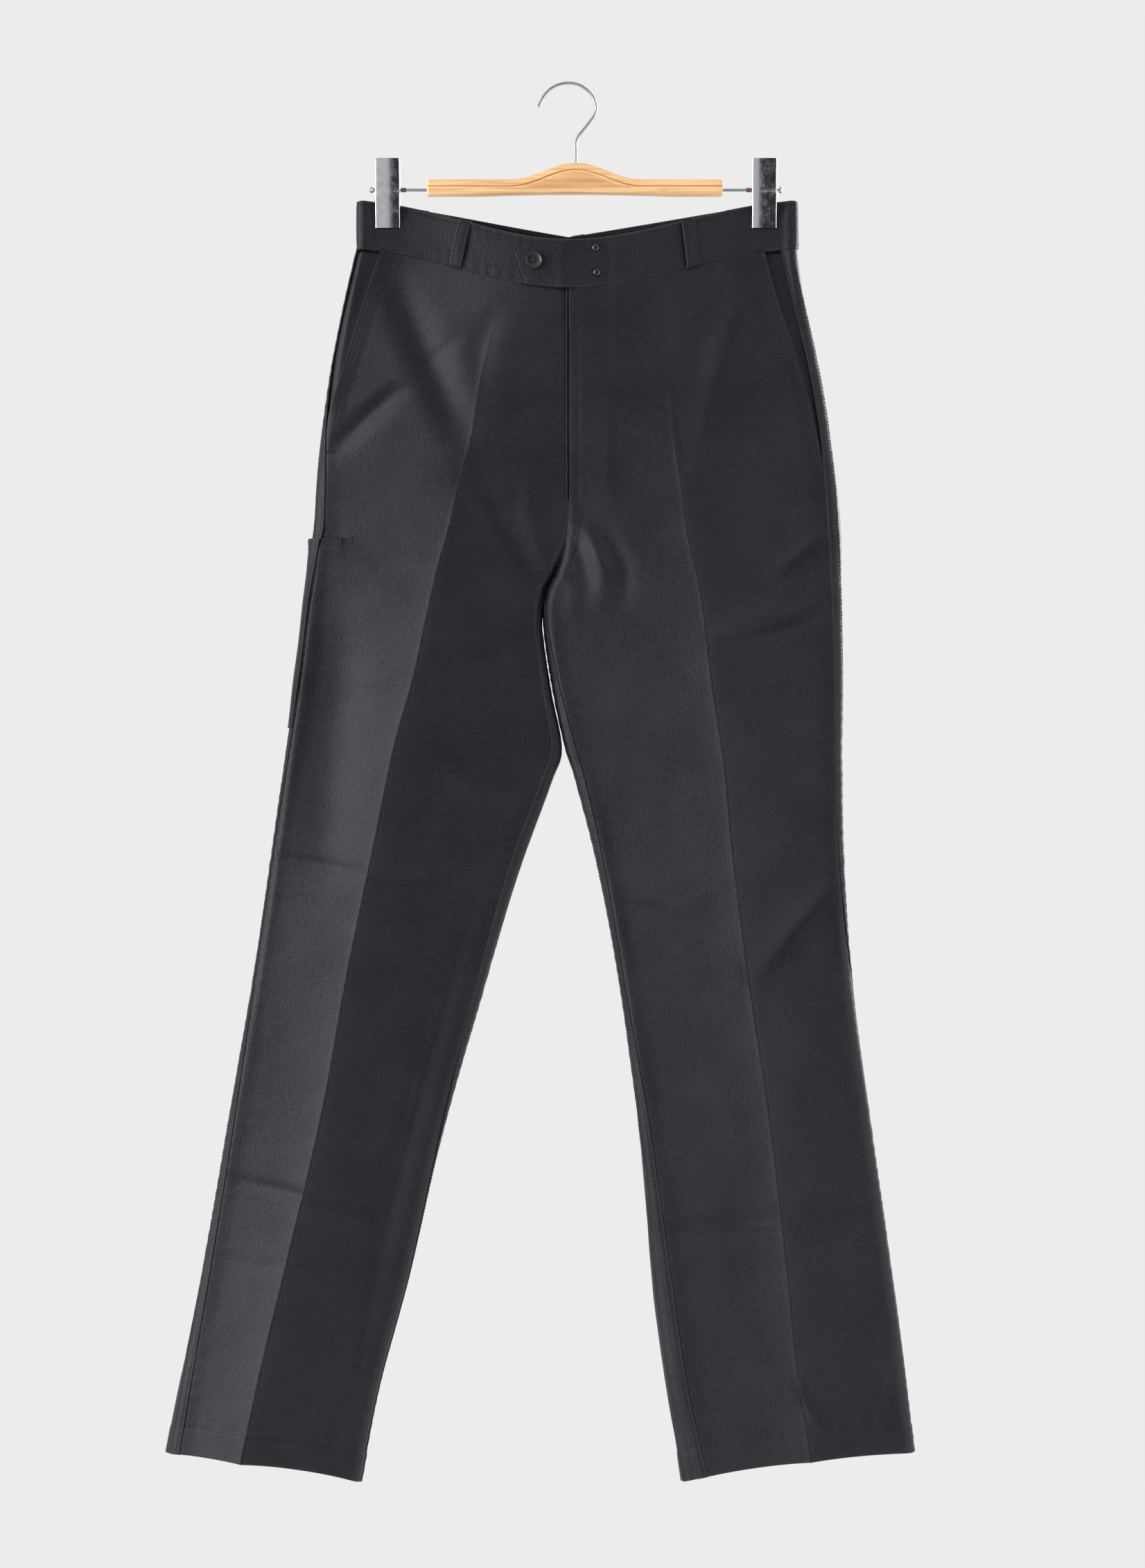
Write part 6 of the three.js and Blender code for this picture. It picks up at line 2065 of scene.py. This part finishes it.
@dataclass(frozen=True)
class WoodFinish:
    """Pale lacquered beech: fine straight grain along the bar, with darker flecks."""

    pale: Three = (0.83, 0.54, 0.25)
    deep: Three = (0.68, 0.37, 0.155)
    fleck: Three = (0.36, 0.15, 0.05)

    def build(self, name: str, share: float = 0.0) -> Material:
        """The material.

        Args:
            name: its name.
            share: how far it goes from the pale wood to the inlay's deeper veneer.

        Returns:
            The material.
        """
        n = NodeSheet(name)
        place = n.own_place()
        warp = n.noise(n.placed(place, (8, 60, 60)), 1.0, 3.0)
        bend = n.add("ShaderNodeVectorMath", operation="MULTIPLY_ADD")
        for socket, value in zip(bend.inputs, (warp, (0.0, 0.01, 0.01), place)):
            n.feed(socket, value)
        grain = n.noise(n.placed(bend.outputs[0], (14, 420, 420)), 1.0, 5.0)
        pore = n.noise(n.placed(place, (90, 2600, 2600)), 1.0, 2.0)
        low = tuple(lerp(a, b, share) for a, b in zip(self.pale, self.deep))
        high = tuple(lerp(a, b * 0.8, share) for a, b in zip(self.deep, self.deep))
        colour = n.mix(n.steps(grain, 0.38, 0.68), (*low, 1), (*high, 1))
        colour = n.mix(n.math("MULTIPLY", n.steps(pore, 0.62, 0.74), 0.3), colour, (*self.fleck, 1))
        n.set(Base_Color=colour, Roughness=0.42, Coat_Weight=0.55, Coat_Roughness=0.16)
        n.bumped(n.math("ADD", grain, n.math("MULTIPLY", pore, 0.6)), 0.00008, 0.35)
        return n.material


@dataclass
class Studio:
    """A camera at the photograph's viewing angle, soft light from the left, and a pale floor."""

    eye: Three = (0.0032, -3.0, -0.6057)
    frame_height: float = 1.3578
    sensor: float = 36.0
    background: float = 0.84
    floor_height: float = -1.56
    floor_radius: float = 1.15
    flag_place: Three = (0.3, -4.2, -0.5)
    flag_size: tuple[float, float] = (5.4, 4.4)
    flag_edge: tuple[float, float] = (-0.34, 0.02)

    def _camera(self) -> None:
        """The camera, level and looking along +Y."""
        data = bpy.data.cameras.new("camera")
        data.sensor_width = self.sensor
        data.lens = self.sensor * -self.eye[1] / self.frame_height
        data.clip_end = 50.0
        camera = new_piece("camera", data)
        camera.location = self.eye
        camera.rotation_euler = (math.pi / 2, 0, 0)
        bpy.context.scene.camera = camera

    @staticmethod
    def _lamp(name: str, place: Sequence[float], aim: Sequence[float], size: tuple[float, float],
              power: float, tone: Sequence[float]) -> None:
        """A soft rectangular light that looks at a point.

        Args:
            name: its name.
            place: where it stands.
            aim: the point that it looks at.
            size: its width and height in metres.
            power: its power in watts.
            tone: its colour.
        """
        data = bpy.data.lights.new(name, "AREA")
        data.shape = "RECTANGLE"
        data.size, data.size_y = size
        data.energy = power
        data.color = tone
        lamp = new_piece(name, data)
        lamp.location = place
        lamp.visible_camera = False
        lamp.rotation_euler = (Vector(aim) - Vector(place)).to_track_quat("-Z", "Y").to_euler()

    def _floor(self) -> None:
        """A round pale floor under the hanging garment."""
        floor = Bench.start("floor", bpy.ops.mesh.primitive_circle_add, vertices=96, fill_type="NGON",
                            radius=self.floor_radius, location=(0, 0, self.floor_height))
        Bench.take(floor)
        n = NodeSheet("floor")
        n.set(Base_Color=n.mix(n.noise(n.own_place(), 3.0), grey(0.70), grey(0.74)), Roughness=0.9)
        floor.data.materials.append(n.material)

    def _flag(self) -> None:
        """A cloth behind the camera, grey to black, which the polished steel mirrors."""
        width, height = self.flag_size
        flag = Bench.start("flag", bpy.ops.mesh.primitive_plane_add, (width, height, 1), size=1,
                           location=self.flag_place, rotation=(math.pi / 2, 0, 0))
        Bench.take(flag)
        flag.visible_camera = False
        n = NodeSheet("flag")
        across = n.add("ShaderNodeSeparateXYZ")
        n.link(n.own_place(), across.inputs[0])
        shade = n.mix(n.steps(across.outputs["X"], *self.flag_edge), grey(0.52), grey(0.008))
        n.set(Base_Color=shade, Roughness=1.0)
        flag.data.materials.append(n.material)

    def build(self) -> None:
        """Sets up the camera, the lights, the floor and the world."""
        self._camera()
        self._lamp("key", (-2.5, -1.15, -0.1), (0.0, 0.0, -0.6), (1.3, 2.2), 98.0, (1.0, 0.975, 1.0))
        self._lamp("fill", (1.25, -0.5, -0.75), (0.2, 0.0, -0.75), (1.0, 1.9), 10.0, (0.96, 0.95, 1.0))
        self._lamp("back", (2.0, 1.9, 0.4), (0.0, 0.0, -0.6), (1.4, 1.8), 90.0, (1.0, 0.99, 0.97))
        self._floor()
        self._flag()
        world = bpy.data.worlds.new("studio")
        bpy.context.scene.world = world
        world.use_nodes = True
        tone = world.node_tree.nodes["Background"].inputs
        tone["Color"].default_value = grey(self.background, 0.004)
        tone["Strength"].default_value = 1.0
        bpy.context.scene.view_settings.view_transform = "Standard"


def add_piece(piece: Piece, material: Material, slot: str, *nodes: str) -> None:
    """Dresses a finished piece and lets it ride on the one body.

    Args:
        piece: the finished object.
        material: its finish.
        slot: the name of a material slot; not used.
        nodes: the solids that it stands for.
    """
    piece.data.materials.clear()
    piece.data.materials.append(material)
    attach(piece, BODY)
    if nodes:
        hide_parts(*nodes)
    piece.data.calc_loop_triangles()
    log.info("%s: %d triangles", piece.name, len(piece.data.loop_triangles))


def make_garment() -> None:
    """Builds the trousers: leg panels, pockets, waistband, belt loops and their stitching."""
    moleskin, thread = MoleskinFinish().build(), ThreadFinish().build()
    legs, waist = Stitcher(), Stitcher()
    for half in Half:
        for face in Face:
            panel = LegPanel(half, face)
            add_piece(panel.build(), moleskin, "black_cloth", panel.name)
            panel.sew(legs)
        facing = PocketFacing(half)
        add_piece(facing.build(), moleskin, "black_cloth", facing.name)
    pocket = ToolPocket()
    add_piece(pocket.build(), moleskin, "black_cloth", "ruler_pocket")
    pocket.sew(legs)
    add_piece(legs.build("stitching_legs"), thread, "black_cloth")
    band = Waistband()
    for part in band.parts:
        add_piece(band.build_part(part), moleskin, "black_cloth", part.name)
    band.sew(waist)
    loops = BeltLoops(band=band)
    for loop in loops.loops:
        add_piece(loops.build_loop(loop), moleskin, "black_cloth", loop.name)
    loops.sew(waist)
    add_piece(waist.build("stitching_waist"), thread, "black_cloth")
    fastenings = Fastenings(band)
    horn = GlossFinish("black_horn", (0.006, 0.0058, 0.0065), 0.0, 0.27, 0.4, 0.2).build()
    add_piece(fastenings.build_button(), horn, "button_horn", "button")
    add_piece(fastenings.build_thread(), thread, "black_cloth")
    gloss = GlossFinish("black_lacquer", (0.004, 0.004, 0.005), 0.0, 0.12, 0.3, 0.1, coat=0.2).build()
    for cap, node in zip(fastenings.build_rivets(), ("rivet_upper", "rivet_lower")):
        cap.name = f"{node}_cap"
        add_piece(cap, gloss, "black_rivet", node)


def make_hanger() -> None:
    """Builds the hanger: bar, inlay, hook, rod and both clips."""
    wood = WoodFinish()
    bar, wire = HangerBar(), HangerWire()
    add_piece(bar.build(), wood.build("beech"), "hanger_wood", "hanger_bar")
    add_piece(bar.build_inlay(), wood.build("veneer", 0.75), "hanger_wood")
    chrome = GlossFinish("chrome", (0.4, 0.41, 0.44), 1.0, 0.34, 0.04, 0.03, relief=0.0000005).build()
    add_piece(wire.build_hook(), chrome, "hanger_chrome", "hanger_hook")
    add_piece(wire.build_rod(), chrome, "hanger_chrome", "hanger_rod")
    brown = GlossFinish("brown_sleeve", (0.14, 0.055, 0.03), 0.0, 0.4).build()
    add_piece(wire.build_collars(), brown, "hanger_chrome")
    steel = GlossFinish("clip_steel", (0.72, 0.74, 0.78), 1.0, 0.17, 0.06, 0.2, relief=0.000001).build()
    for half in Half:
        for node, piece in Clip(half).build().items():
            add_piece(piece, steel, "clip_steel", node)


def main() -> None:
    """Builds the garment and its hanger, then the studio, and notes the sizes."""
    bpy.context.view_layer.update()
    make_garment()
    make_hanger()
    Studio().build()
    Bench.take(None)


if __name__ == "__main__":
    logging.basicConfig(level=logging.INFO, format="%(message)s")
    main()
